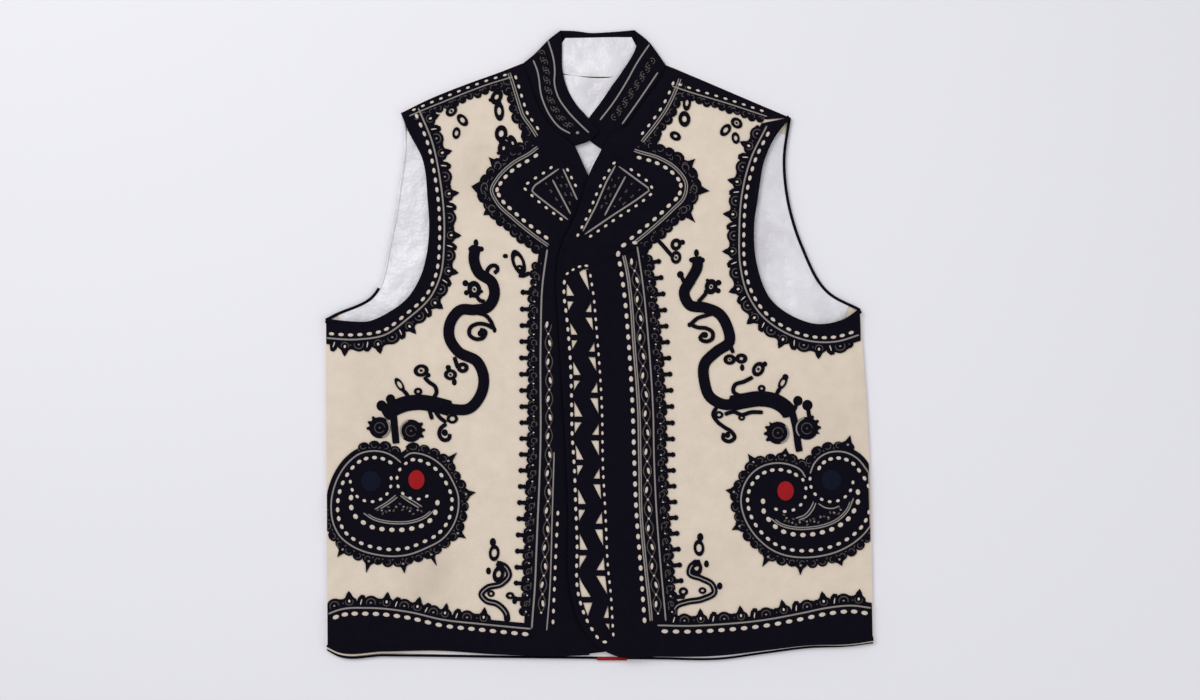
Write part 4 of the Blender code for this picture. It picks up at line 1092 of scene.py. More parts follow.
    def loop(self, felt, x, y, half_width, half_length, turn, hole, pip):
        """A felt ring on the wool, at a place read off the photo."""
        place, a = at_photo(x, y), np.arange(16) * math.pi / 8
        c, s = math.cos(math.radians(turn)), math.sin(math.radians(turn))
        ring = np.stack([half_length * np.cos(a) * c - half_width * np.sin(a) * s,
                         half_length * np.cos(a) * s + half_width * np.sin(a) * c], 1)
        if half_length > 7 and hole < 0.4:
            for k in (2, 6, 11):
                felt.dot(place + ring[k], 2.0, 2.0, sides=8, dome=0.1)
        levels = ((1, felt.low), (1, felt.high - 0.4), (0.86, felt.high), (hole + 0.1, felt.high),
                  (hole, felt.high - 0.4), (hole, felt.low))
        felt.rings([felt.raised((place + ring * share)[None], height)[0] for share, height in levels],
                   False)
        if pip:
            felt.shape(place + ring * hole * 0.45, 0.2)

    def stem(self, felt, rows, width, ends):
        """A felt cord along places read off the photo."""
        felt.braid(smooth(photo(rows), 2.0), width, ends)

    def buds(self, felt, rows):
        """Small felt ovals, upright in the photo."""
        for x, y, half_width, half_length in rows:
            felt.dot(at_photo(x, y), half_width * BUD_FULLNESS, half_length * BUD_FULLNESS, math.pi / 2,
                     dome=0.1)

    def finish(self):
        """The panel's beads and braids as three objects."""
        # The beads take the wool painted darker as shade in their holes
        for trim, title, material in ((self.cream, "beads", hole_wool_painted_shade), (self.grey, "braids", grey_braid),
                                      (self.dull, "threads", dull_thread)):
            if trim.count:
                self.pieces.append(trim.made("%s_%s" % (title, self.side), material))


right = Front("right", right_wool)
left = Front("left", left_wool)
print("fronts to trim:", right.side, "and", left.side)

# %% [markdown]
# ## Armholes, shoulders and neck
# The armhole's border is the simplest: a plain black band, beads, braid, and lobes between spikes.
# The shoulders and the neck repeat it narrower, down to the point where both fronts meet.

# %% Armholes, shoulders and neck
ARM_BRAID_RIGHT = photo([
    (419, 109), (433, 143), (441, 181), (445, 221), (445, 240), (440, 280), (433, 295), (408, 319.5),
    (387, 334.5), (358, 339.5), (325.5, 338),
])
ARM_SPIKES_RIGHT = photo([
    (462, 150), (466, 193), (463.5, 236.5), (461.5, 273), (446, 311), (415.5, 333.5), (381, 356),
    (345, 356),
])
ARM_BRAID_LEFT = photo([
    (766, 127), (750, 160), (742, 190), (738.5, 234), (739.6, 266.7), (746.6, 293.8), (760.7, 315.5),
    (782.4, 331.8), (808.4, 341), (835.5, 341.5), (858, 335),
])
ARM_SPIKES_LEFT = photo([
    (738, 142), (727, 180), (720, 215), (716.8, 252), (727, 293), (744.4, 326), (779, 346), (818, 358),
])
SHOULDER_BRAID_RIGHT = photo([(513, 78), (487, 86), (467, 93.5), (446, 102), (425, 110.5), (410, 117)])
SHOULDER_BRAID_LEFT = photo([(672, 87.5), (689.4, 93.3), (727, 104.5), (766.3, 117.5)])
NECK_BRAID_RIGHT = photo([
    (509, 74), (512.3, 83.2), (518.3, 102.6), (523.2, 117), (531.7, 129.2), (537, 137.7),
])
NECK_BRAID_LEFT = photo([(680, 80), (676, 90.5), (667.4, 108.6), (654, 128), (642, 143)])

NECK_FOOT = {
    "right": [
        (524, 122), (545, 134), (567, 140), (576, 149), (566, 166), (541, 160), (528, 152), (521, 138),
    ],
    "left": [
        (603, 149), (610, 136), (636, 122), (662, 124), (660, 140), (648, 158), (622, 162), (604, 158),
    ],
}

for front_side, braid_rows, spikes, edge_rows, way in (
    (right, ARM_BRAID_RIGHT, ARM_SPIKES_RIGHT, ARMHOLE_RIGHT, 1),
    (left, ARM_BRAID_LEFT, ARM_SPIKES_LEFT, ARMHOLE_LEFT, -1),
):
    border = Border(smooth(braid_rows), way)
    felt = front_side.felt()
    front_side.band(felt, smooth(edge_rows)[::-1], border, 6.0)
    front_side.lobes(felt, border, spikes, first=8)
    front_side.made(felt, "felt_armhole_" + front_side.side)
    front_side.braid(border)
    front_side.beads(border, -4.6, 9.8, half_width=1.8, half_length=3.0)

for front_side, braid_rows, edge_rows, way in (
    (right, SHOULDER_BRAID_RIGHT, SHOULDER_RIGHT, 1),
    (left, SHOULDER_BRAID_LEFT, SHOULDER_LEFT, -1),
):
    border = Border(smooth(braid_rows), way)
    felt = front_side.felt()
    front_side.band(felt, smooth(edge_rows), border, 3.0, 2)
    front_side.scallops(felt, border, reach=9.0, radius=4.2, pitch=8.2, start=2, stop=2)
    front_side.made(felt, "felt_shoulder_" + front_side.side)
    front_side.braid(border, width=1.2)
    front_side.beads(border, -4.0, 9.6, half_width=1.3, half_length=2.3)

for front_side, braid_rows, edge_rows, way in (
    (right, NECK_BRAID_RIGHT, NECK_SEAM_RIGHT[:6], -1),
    (left, NECK_BRAID_LEFT, NECK_SEAM_LEFT, 1),
):
    border = Border(smooth(braid_rows), way)
    felt = front_side.felt()
    front_side.band(felt, smooth(edge_rows), border, 4.0)
    front_side.scallops(felt, border, reach=11.0, radius=4.8, pitch=8.6, start=3, stop=3)
    felt.shape(photo(NECK_FOOT[front_side.side]), 0.5)
    front_side.made(felt, "felt_neck_" + front_side.side)
    front_side.braid(border, 0.8, 1.1)
    front_side.braid(border, -1.4, 1.1)
    front_side.beads(border, -5.2, 9.8, half_width=1.5, half_length=2.4)
print("armhole borders: %d faces of felt" % sum(len(piece.data.polygons) for piece in right.pieces))

# %% [markdown]
# ## Breast panels
# Each front has a broad black heart over the breast, scalloped and thorned along its outer side.
# Two rows of beads and straight grey lines draw a kite on it, split by one line down its middle.

# %% Breast panels
BREAST_BRAID_RIGHT = photo([
    (538, 148), (532.6, 152.4), (511.9, 165), (497.5, 179.5), (492, 190.7), (497.5, 203.4), (511.9, 217.8),
    (531, 233.7), (548.6, 246.5),
])
BREAST_BRAID_LEFT = photo([
    (634, 151), (638, 152.4), (658.6, 158.8), (676.2, 169.9), (685.8, 184.3), (684.2, 197), (671.4, 211.4),
    (652.3, 228.9), (634.7, 243.3),
])
BREAST_THORNS_RIGHT = photo([(489, 158), (471.8, 186.8), (484, 216)])
BREAST_THORNS_LEFT = photo([(694.3, 159.3), (709, 192.3), (694.3, 223.4)])
BREAST_EDGE_RIGHT = [
    (-33, 204), (-21.5, 184), (-11.5, 168), (-14.5, 153), (-19.5, 138), (-25.5, 124), (-36, 104),
    (-41, 88), (-42.5, 82),
]
BREAST_EDGE_LEFT = [
    (4, 194), (-10.3, 167), (-14.3, 153.5), (-18.4, 140), (-23.3, 128), (-29.3, 116), (-35.3, 103),
    (-40, 88), (-41.5, 72),
]
KITE_LEFT = {
    "beads": (
        [(617.9, 161.9), (613.4, 164.4), (603.8, 179.8), (596, 196.3), (588.5, 215.4), (576, 239.9)],
        [(627.5, 168), (642.8, 179), (649, 183), (653.6, 192.6), (640, 204), (618.3, 218), (587, 239.5)],
    ),
    "lines": (
        [(615.4, 166.5), (606.3, 183), (596.4, 206.3), (583, 232)],
        [(618.7, 167.3), (650.3, 190.5), (635.3, 201.3), (613.8, 215.4), (585, 235)],
        [(625.4, 177.3), (604.7, 216.2)],
    ),
    "threads": (
        [(612, 180), (600, 212)], [(619, 178), (606, 205)], [(632, 184), (614, 208)],
        [(640, 190), (620, 208)],
    ),
}
KITE_RIGHT = {
    "beads": (
        [
            (554.9, 165.7), (546.6, 172.3), (538.3, 177.3), (523, 187.5), (536.7, 200.5), (543.3, 206),
            (550.8, 211.7), (565, 222.5),
        ],
        [(565.7, 167), (569.8, 174.4), (573.3, 182), (577.7, 190)],
    ),
    "lines": (
        [(563.2, 169.8), (577.3, 200.5)],
        [(559, 169.8), (535, 186.4), (532, 191), (535, 194.7), (568.2, 220.4)],
        [(552.8, 180.6), (570.7, 214.6)],
    ),
    "threads": ([(557, 178), (572, 208)], [(546, 184), (562, 208)], [(562, 177), (574, 200)]),
}

for front_side, braid_rows, thorns, edge_rows, kite, way in (
    (right, BREAST_BRAID_RIGHT, BREAST_THORNS_RIGHT, BREAST_EDGE_RIGHT, KITE_RIGHT, -1),
    (left, BREAST_BRAID_LEFT, BREAST_THORNS_LEFT, BREAST_EDGE_LEFT, KITE_LEFT, 1),
):
    border = Border(smooth(braid_rows), way)
    felt = front_side.felt()
    front_side.band(felt, smooth(edge_rows), border, 6.0, 12)
    front_side.scallops(felt, border, reach=14.5, radius=5.2, pitch=8.6, start=2, stop=4)
    for spot in thorns:
        along, tip = border.reach(spot)
        front_side.thorn(felt, border, along, 10, tip, 5.0)
        front_side.dull.braid(border.at(arc(0, 7.5, 3.2, 0, 300), along), 1.1)
    front_side.made(felt, "felt_breast_" + front_side.side)
    front_side.braid(border, 0.9, 1.1)
    front_side.braid(border, -1.2, 1.1)
    front_side.beads(border, -5.6, 9.6, 2.0, 2.9, stop=-14 if front_side is left else 2)
    for rows in kite["beads"]:
        line = straight(rows, 60)
        for along in evenly(line, 9.0):
            front_side.cream.dot(on_line(line, [along])[0], 1.5, 2.1, Border(line, 1).turn(along))
    for rows in kite["lines"]:
        front_side.grey.braid(straight(rows, 24), 1.6)
    for rows in kite["threads"]:
        line = Border(straight(rows, 20), 1)
        for k, along in enumerate(evenly(line.line, 5.0)):
            place = line.at([(1.6 if k % 2 else -1.6, 0)], along)[0]
            front_side.dull.dot(place, 0.9, 1.6, line.turn(along) + k, sides=8)
print("beads on the left breast: %d points" % left.cream.count)

# %% [markdown]
# ## Columns down the middle
# Two braids run down each front, with drops and crossing threads between them.
# Outside them the felt ends in scallops and a comb of small pegs.
# On the left front a black vine waves down a strip of bare wool, and short bars cross its bays.

# %% Columns down the middle
COLUMN_INNER_LEFT = photo([
    (623.5, 256), (627, 272), (630.2, 296), (633.8, 345), (638.6, 413), (639.5, 458), (640.8, 514),
    (645.4, 566), (651, 620), (653, 651),
])
COLUMN_OUTER_LEFT = photo([
    (637, 247), (642, 280), (648.5, 345), (652.9, 413), (653.8, 458), (656.4, 514), (660.5, 566),
    (665.5, 620), (668, 651),
])
COLUMN_BEADS_LEFT = photo([
    (628, 243), (621, 248), (617.8, 255.6), (619.8, 265), (624.3, 296), (628, 337), (632.6, 413),
    (634, 458), (636.3, 514), (640.4, 566), (644.8, 626),
])
PANEL_BEADS_LEFT = photo([
    (589.5, 270), (593.6, 296), (595.8, 320), (602, 411), (602.9, 465), (605.5, 514), (608.3, 570),
    (610.5, 590), (613, 629), (614.5, 651),
])
PANEL_BEADS_TOP = photo([(564.7, 276.2), (569.2, 272.9), (575.8, 268.8), (582.6, 266.4), (590, 266.6)])
BREAST_FOOT = [
    (558, 262), (562, 277), (570, 279), (577, 272), (588, 269), (600, 273), (630, 273), (644, 262),
    (654, 238), (640, 240), (600, 232), (566, 236),
]
PANEL_FOOT = [(586, 613), (597, 625), (606, 631.5), (613, 633), (616, 645), (603, 646), (590, 632)]
PANEL_BEADS_EDGE = photo([
    (565, 276), (564.2, 293), (567, 318), (570.2, 355), (571.6, 392), (572.3, 432), (574.7, 470),
    (576, 508), (577.2, 538), (579, 595), (583.8, 611), (591.8, 627), (603.4, 640), (611.4, 639.5),
])
COLUMN_OUTER_RIGHT = photo([
    (547.5, 250), (542.8, 285), (541, 340), (540.7, 449), (539.8, 478), (538, 520), (536.7, 551),
    (535.4, 582.5), (532.2, 626), (531, 651),
])
COLUMN_INNER_RIGHT = photo([
    (554.4, 451.5), (553.6, 478), (552.3, 520), (551.4, 556), (550, 591), (547, 629),
])
COLUMN_DROPS_RIGHT = photo([
    (548, 318), (549, 346), (549.5, 400), (549, 449), (548, 505), (545, 560), (541, 618),
])
COLUMN_BEADS_RIGHT = photo([(558.5, 505), (556.7, 540), (554.5, 590), (553, 628)])

# Rows of the photo where the columns' braids end, over the hem's
BRAID_END_LEFT, BRAID_END_RIGHT = 621, 627
# Heights on the garment between which the right front's felt starts below the left front's edge
HIDDEN_TOP, HIDDEN_FOOT = 104, -298
# Height at which the left front's edge strip starts, and the corner where it ends
STRIP_TOP, STRIP_FOOT = 84, (14, -306.5)
# Half the width of the centre panel's bead rows, at its right and left side in the photo
BEADS_WEST, BEADS_EAST = 2.6, 3.6

felt = left.felt()
felt.shape(photo(BREAST_FOOT), 0.5)
inner = Border(smooth(PANEL_BEADS_LEFT), 1)
outer = Border(smooth(COLUMN_INNER_LEFT), 1)
left.band(felt, beside(inner.line, -BEADS_EAST), outer, 1.0, 6)
left.made(felt, "felt_column_left")
left.beads(inner, 0, 8.8, 1.4, 2.2, stop=14)
left.beads(Border(smooth(PANEL_BEADS_TOP), 1), 0, 6.6, 1.3, 2.0, 0, 0)
left.beads(Border(smooth(COLUMN_BEADS_LEFT), 1), 0, 10.4, 2.2, 3.1, 0)
strands = Border(above(outer.line, BRAID_END_LEFT), 1)
left.braid(strands, -0.9, 1.4)
left.braid(strands, 1.1, 1.2)

felt = left.felt()
lace = Border(smooth(COLUMN_OUTER_LEFT), 1)
left.band(felt, beside(outer.line, 0.5), lace, 8.0, 4)
left.scallops(felt, lace, reach=13.6, radius=4.4, pitch=8.0, start=10, stop=36)
left.pegs(felt, lace, pitch=16.2, base=11.5, tip=19.6, start=10, stop=46)
left.made(felt, "braid_column_left")
left.braid(Border(above(lace.line, BRAID_END_LEFT), 1), 0, 1.5)
left.chain(beside(strands.line, 7.4), 3.9, start=3)

felt = right.felt()
lace = Border(smooth(COLUMN_OUTER_RIGHT), -1)
hidden_side = beside(smooth(EDGE_LEFT), RIM + 0.1)[::-1]
hidden_side = hidden_side[(hidden_side[:, 1] < HIDDEN_TOP) & (hidden_side[:, 1] > HIDDEN_FOOT)]
right.band(felt, hidden_side, lace, 8.0, 6)
right.scallops(felt, lace, reach=13.6, radius=4.4, pitch=8.0, start=14, stop=36)
right.pegs(felt, lace, pitch=15.7, base=11.5, tip=19.6, start=36, stop=44)
right.made(felt, "felt_column_right")
right.braid(Border(above(lace.line, BRAID_END_RIGHT), -1), 0, 1.7)
right.braid(Border(smooth(COLUMN_INNER_RIGHT), 1), 0, 1.3)
right.beads(Border(smooth(COLUMN_BEADS_RIGHT), 1), 0, 10.7, 1.6, 2.6)
right.chain(smooth(COLUMN_DROPS_RIGHT), 3.4)
for side, border in ((left, Border(smooth(COLUMN_OUTER_LEFT), 1)), (right, lace)):
    for along in evenly(border.line, 16.0, 20, 40):
        side.dull.braid(border.at(arc(0, 6.5, 2.7, 0, 330), along), 0.8)
        side.cream.dot(border.at([(8, 7)], along)[0], 0.8, 1.1, sides=8)

felt = left.felt()
edge = Border(smooth(PANEL_BEADS_EDGE), 1)
edge_line = smooth(EDGE_LEFT[::-1])
edge_line = edge_line[edge_line[:, 1] < STRIP_TOP]
left.band(felt, np.concatenate([edge_line, [STRIP_FOOT]]), edge, BEADS_WEST, 2)
felt.shape(photo(PANEL_FOOT), 0.4)
left.made(felt, "felt_edge_left")
left.beads(edge, 0, 9.4, 1.7, 2.6)

# The waved vine: its width, the share of the panel that it swings, and how far its ends are smoothed
WAVE_WIDTH, WAVE_SHARE, WAVE_BLUR, FIRST_SHIFT = 15.5, 0.26, 6, 4
# The photo's row of the first turn, the step to the next, its growth, and how much lower a left turn lies
FIRST_BAY, BAY_PITCH, BAY_GROWTH, WEST_LAG = 277.0, 18.65, 0.171, 3.0
# Turns in all, and half the thickness and the length of the bar across each
BAYS, BAR, BAR_LENGTH = 17, 2.8, 13
felt = left.felt()
turns = []
for k in range(-1, BAYS + 1):
    way = -1 if k < 0 or k % 2 == 0 else 1
    y = MIDDLE_Y - FIRST_BAY - k * BAY_PITCH - k * k * BAY_GROWTH - (WEST_LAG if way > 0 else 0)
    west = np.interp(-y, -edge.line[:, 1], edge.line[:, 0]) + BEADS_WEST
    east = np.interp(-y, -inner.line[:, 1], inner.line[:, 0]) - BEADS_EAST
    turns.append(((west + east) / 2 + way * WAVE_SHARE * (east - west), y))
    if 1 <= k < BAYS:
        bay = np.array([west - 1, west + BAR_LENGTH] if way > 0 else [east - BAR_LENGTH, east + 1])
        felt.strip(np.stack([bay, (y + BAR, y + BAR)], 1), np.stack([bay, (y - BAR, y - BAR)], 1), 0.3, 1)
turns = np.array(turns)
turns[0, 0] -= FIRST_SHIFT
wave = on_line(turns, np.linspace(0, measured(turns)[-1], 500))
blur = np.ones(2 * WAVE_BLUR + 1) / (2 * WAVE_BLUR + 1)
wave = np.stack([np.convolve(np.pad(wave[:, k], WAVE_BLUR, "edge"), blur, "valid") for k in (0, 1)], 1)
felt.braid(wave, WAVE_WIDTH, 0.3)
left.made(felt, "vine_centre")
print("turns of the waved vine:", len(turns))

# %% [markdown]
# ## Hem
# The hem's braid meets both columns, with beads below it and the armhole's lobes above.

# %% Hem
HEM_BRAID_RIGHT = photo([
    (328, 613.5), (340, 608.7), (369.5, 606.7), (409, 610.6), (443.6, 618.5), (480, 622.5), (533, 627.6),
    (545, 628.6), (575, 630),
])
HEM_BRAID_END = -67.0
HEM_SPIKES_RIGHT = photo([(349, 588.6), (389, 585.6), (421.5, 590), (448.5, 596.5), (485, 604)])
HEM_BRAID_LEFT = photo([
    (657, 624), (690, 624.5), (720, 623), (761, 619), (802, 611.6), (827, 606.5), (853, 604.5), (870, 607),
])
HEM_SPIKES_LEFT = photo([(699, 603.6), (739, 597.6), (780, 594.6), (820.5, 586.6), (860, 583.6)])

for front_side, braid_rows, spikes, edge_rows, last in (
    (right, HEM_BRAID_RIGHT, HEM_SPIKES_RIGHT, HEM_RIGHT[::-1], 170),
    (left, HEM_BRAID_LEFT, HEM_SPIKES_LEFT, HEM_LEFT, None),
):
    border = Border(smooth(braid_rows), 1)
    felt = front_side.felt()
    edge_line = smooth(edge_rows)
    keep = (edge_line[:, 0] < -10) | (edge_line[:, 0] > 14.5)
    front_side.band(felt, edge_line[keep] if front_side is right else edge_line, border, 5.0, 6)
    front_side.lobes(felt, border, spikes, first=12 if front_side is left else 0, last=last)
    front_side.made(felt, "felt_hem_" + front_side.side)
    shown = Border(border.line[(border.line[:, 0] < HEM_BRAID_END) | (border.line[:, 0] > 0)], 1)
    front_side.braid(shown)
    front_side.beads(shown, -5.8, 11.0, half_width=2.3, half_length=3.7, stop=0)
print("beads of the right front: %d points" % right.cream.count)

# %% [markdown]
# ## Climbing vines
# A thick felt stem winds from the breast to two toothed rosettes, with rings and buds along it.
# Rings are cut right through, so the wool shows in them.

# %% Climbing vines
# Cords: photo places along each. Rings: x, y, half width, half length, turn, share of the hole, inner pip.
# Buds: x, y, half width, half length. Rosettes: x, y, radius, start of the braid, middle of the teeth
VINES = {
    "right": {
        "stem": [
            (476.5, 246), (474.5, 259), (479, 272.5), (492.6, 283), (495, 294), (488.6, 307), (475, 310),
            (461.8, 310), (451, 323), (450, 337), (459, 351.5), (478, 362), (484, 376), (482, 393),
            (470, 408), (448, 408), (435, 405),
        ],
        "foot": [(452, 408.5), (437, 404.5), (420, 402), (405, 404), (394, 408.5), (384, 414)],
        "neck": [(394, 410), (395.5, 427), (397, 443)],
        "curls": (
            [(487, 274.5), (488.5, 269.5), (492.5, 266), (497, 266.5), (498, 270.5), (494.5, 273.5)],
            [(477.5, 297), (481, 301), (485.5, 301.5)],
            [(477, 313), (486, 315.5), (491, 321), (494.5, 329.5)],
            [
                (494, 328.5), (487, 324.8), (478, 324), (470.8, 328), (470, 334.5), (476, 339),
                (484, 337.5), (486, 331.5), (480.5, 329.5),
            ],
            [(455, 357), (457, 363), (458.5, 368)],
            [(425, 377), (430, 382), (436, 386.5), (437.4, 391.5), (433.6, 399)],
            [(409.5, 397), (407, 393), (404, 390)],
            [(430, 409), (433, 419)],
            [(436, 411), (440.5, 417), (447, 422)],
            [(447, 423.5), (441.5, 428), (440, 434), (444, 439.5), (449.5, 438.5), (450.5, 433.5)],
            [(530, 273), (524, 276), (519, 276)],
        ),
        "rings": (
            (474.9, 289.6, 6.9, 8.6, 100, 0.36, True), (463.4, 367.6, 5.4, 6, 0, 0.28, False),
            (451.2, 374.5, 5.6, 6.6, 0, 0.42, True), (422, 370.4, 6.2, 7.6, 10, 0.46, True),
            (419, 391.2, 3.8, 4.3, 0, 0.35, False), (400.5, 384.5, 3.6, 7.8, 122, 0.52, False),
            (453, 418.4, 5, 5.8, 0, 0.45, False), (518.8, 262.8, 6.4, 13.4, 111, 0.52, False),
            (520, 268.5, 3.2, 4, 0, 0.3, False),
        ),
        "buds": (
            (476.5, 243.5, 2.2, 3.4), (471.8, 249.5, 2.6, 2.4), (481.5, 249.5, 2.6, 2.4),
            (391.5, 399, 4.2, 4.4), (382.5, 405.5, 4.6, 4.8), (495, 330, 1.8, 2.6), (481, 333.5, 2.6, 2.8),
            (455, 382, 2.2, 3), (445.5, 432.3, 2.7, 3), (466, 283.5, 2.6, 2.8), (467, 293, 2.2, 2.4),
            (505.8, 256.5, 2.4, 2), (449, 367.5, 2.4, 2.4), (429, 375, 2.2, 2.2),
        ),
        "rosettes": (
            ("rosette_outer_right", 380.8, 427.3, 11.4, -75, 155),
            ("rosette_inner_right", 412, 430.4, 12.0, 105, 7),
        ),
    },
    "left": {
        "stem": [
            (696.5, 257), (697, 266), (690, 280.5), (683.7, 293), (689, 305), (705, 308), (718.6, 314),
            (726.6, 327), (728.6, 342), (716, 351.5), (704, 364), (704, 382), (709, 396), (722.6, 404),
            (745, 400),
        ],
        "foot": [(729, 403.5), (744, 400.5), (760, 398.5), (774, 401), (785, 408), (790, 415)],
        "neck": [(791, 411), (795, 428), (797.5, 446), (798.5, 451)],
        "curls": (
            [(680.2, 275), (683, 281), (686, 289)],
            [(697.5, 302), (703, 296.5), (706.5, 292)],
            [(713, 313.5), (706, 315.5), (697, 318.5), (689.5, 325)],
            [
                (690, 324.5), (697, 327.5), (706, 328.5), (712, 332.5), (711.5, 339), (705, 341.5),
                (699.5, 338.5), (703.5, 333),
            ],
            [(730, 346), (732.5, 353)],
            [(752, 377), (743, 381.5), (734, 385), (732.5, 391), (740, 396)],
            [(775.5, 394), (779, 388)],
            [(797, 401), (792, 412)],
            [(806.5, 405), (808.5, 418)],
            [
                (716, 407), (712.5, 414), (716.5, 421), (724, 427), (731, 431.5), (734, 437), (729, 441),
                (722.5, 438), (723.5, 432.5),
            ],
            [(724, 414), (733, 411.5), (741, 414.5), (750, 412), (762, 412)],
            [(657, 240), (663, 246.5), (669, 253.5), (673, 258)],
        ),
        "rings": (
            (710.5, 287, 6.4, 7.8, 80, 0.32, True), (729, 359.5, 5.4, 6.3, 0, 0.36, True),
            (740.6, 358.5, 5.2, 6.1, 0, 0.3, False), (757.5, 369, 6, 7.8, 60, 0.44, True),
            (760.8, 388.2, 3.6, 3.9, 0, 0.35, False), (781.8, 382.5, 3.8, 7.4, 62, 0.5, False),
            (718.5, 414.5, 3.8, 4.4, 0, 0.4, False), (741, 417.3, 3.1, 3.5, 0, 0.35, False),
            (675.6, 245, 5.5, 6.2, 70, 0.36, False), (675.6, 257.8, 5.4, 6.6, 85, 0.45, True),
        ),
        "buds": (
            (696, 253.5, 2.2, 3.4), (691.5, 260.5, 2.6, 2.4), (701.5, 260.5, 2.6, 2.4), (680, 275, 3, 3.2),
            (797, 400.6, 4.2, 4.4), (806.5, 405, 4.6, 4.8), (689, 325, 1.8, 2.2), (704.5, 335, 2.7, 2.8),
            (741.5, 367.5, 2, 3), (718, 283, 2.6, 2.6), (717.5, 291, 2.4, 2.4), (784.5, 377, 2.8, 2.8),
            (764, 364, 2.2, 2.4), (727, 434.5, 2.4, 2.8), (682, 242.8, 2.4, 2.4),
        ),
        "rosettes": (
            ("rosette_inner_left", 777, 432.5, 12.0, -75, 173),
            ("rosette_outer_left", 805.8, 428, 12.2, 105, 28),
        ),
    },
}
# A rosette's teeth all round, how many degrees from their middle they show, and the reach of tip and notch
TEETH, TOOTHED = 12, 52
TIP_REACH, NOTCH_REACH = 1.16, 0.93
# Widths of the vine's cords, and share of each that is left at its ends
CORDS = (("stem", 10.8, 0.7), ("foot", 15.5, 0.5), ("neck", 7.0, 0.9))
CURL_WIDTH, CURL_ENDS = 4.0, 0.8


def gear(place, radius, middle):
    """Outline of a disc with small blunt teeth round one direction, given in degrees."""
    a = np.arange(TEETH * 4) * 2 * math.pi / (TEETH * 4)
    off = np.abs((np.degrees(a) - middle + 180) % 360 - 180)
    teeth = (np.arange(TEETH * 4) % 4 < 2) & (off < TOOTHED)
    reach = radius * np.where(teeth, TIP_REACH, NOTCH_REACH)[:, None]
    return place + reach * np.stack([np.cos(a), np.sin(a)], 1)


for side in (right, left):
    plan = VINES[side.side]
    felt = side.felt()
    for cord, width, ends in CORDS:
        side.stem(felt, plan[cord], width, ends)
    for rows in plan["curls"]:
        side.stem(felt, rows, CURL_WIDTH, CURL_ENDS)
    for ring in plan["rings"]:
        side.loop(felt, *ring)
    side.buds(felt, plan["buds"])
    side.made(felt, "vine_" + side.side)
    for name, x, y, radius, start, middle in plan["rosettes"]:
        felt = side.felt()
        place = at_photo(x, y)
        felt.shape(gear(place, radius, middle), 0.6)
        side.made(felt, name)
        side.grey.braid(place + arc(0, 0, radius * 0.86, start, start + 120, 12), 1.5)
        side.dull.braid(place + arc(0, 0, radius * 0.45, 0, 330, 12), 0.9)
        side.dull.dot(place, 1.3, 1.3)
print("felt pieces on the right front:", len(right.pieces))

# %% [markdown]
# ## Medallions and sprigs
# A medallion is a double spiral seen as two lobes over a crescent, scalloped all round.
# The left one mirrors the right one, a little turned, because that side of the vest lies rolled.

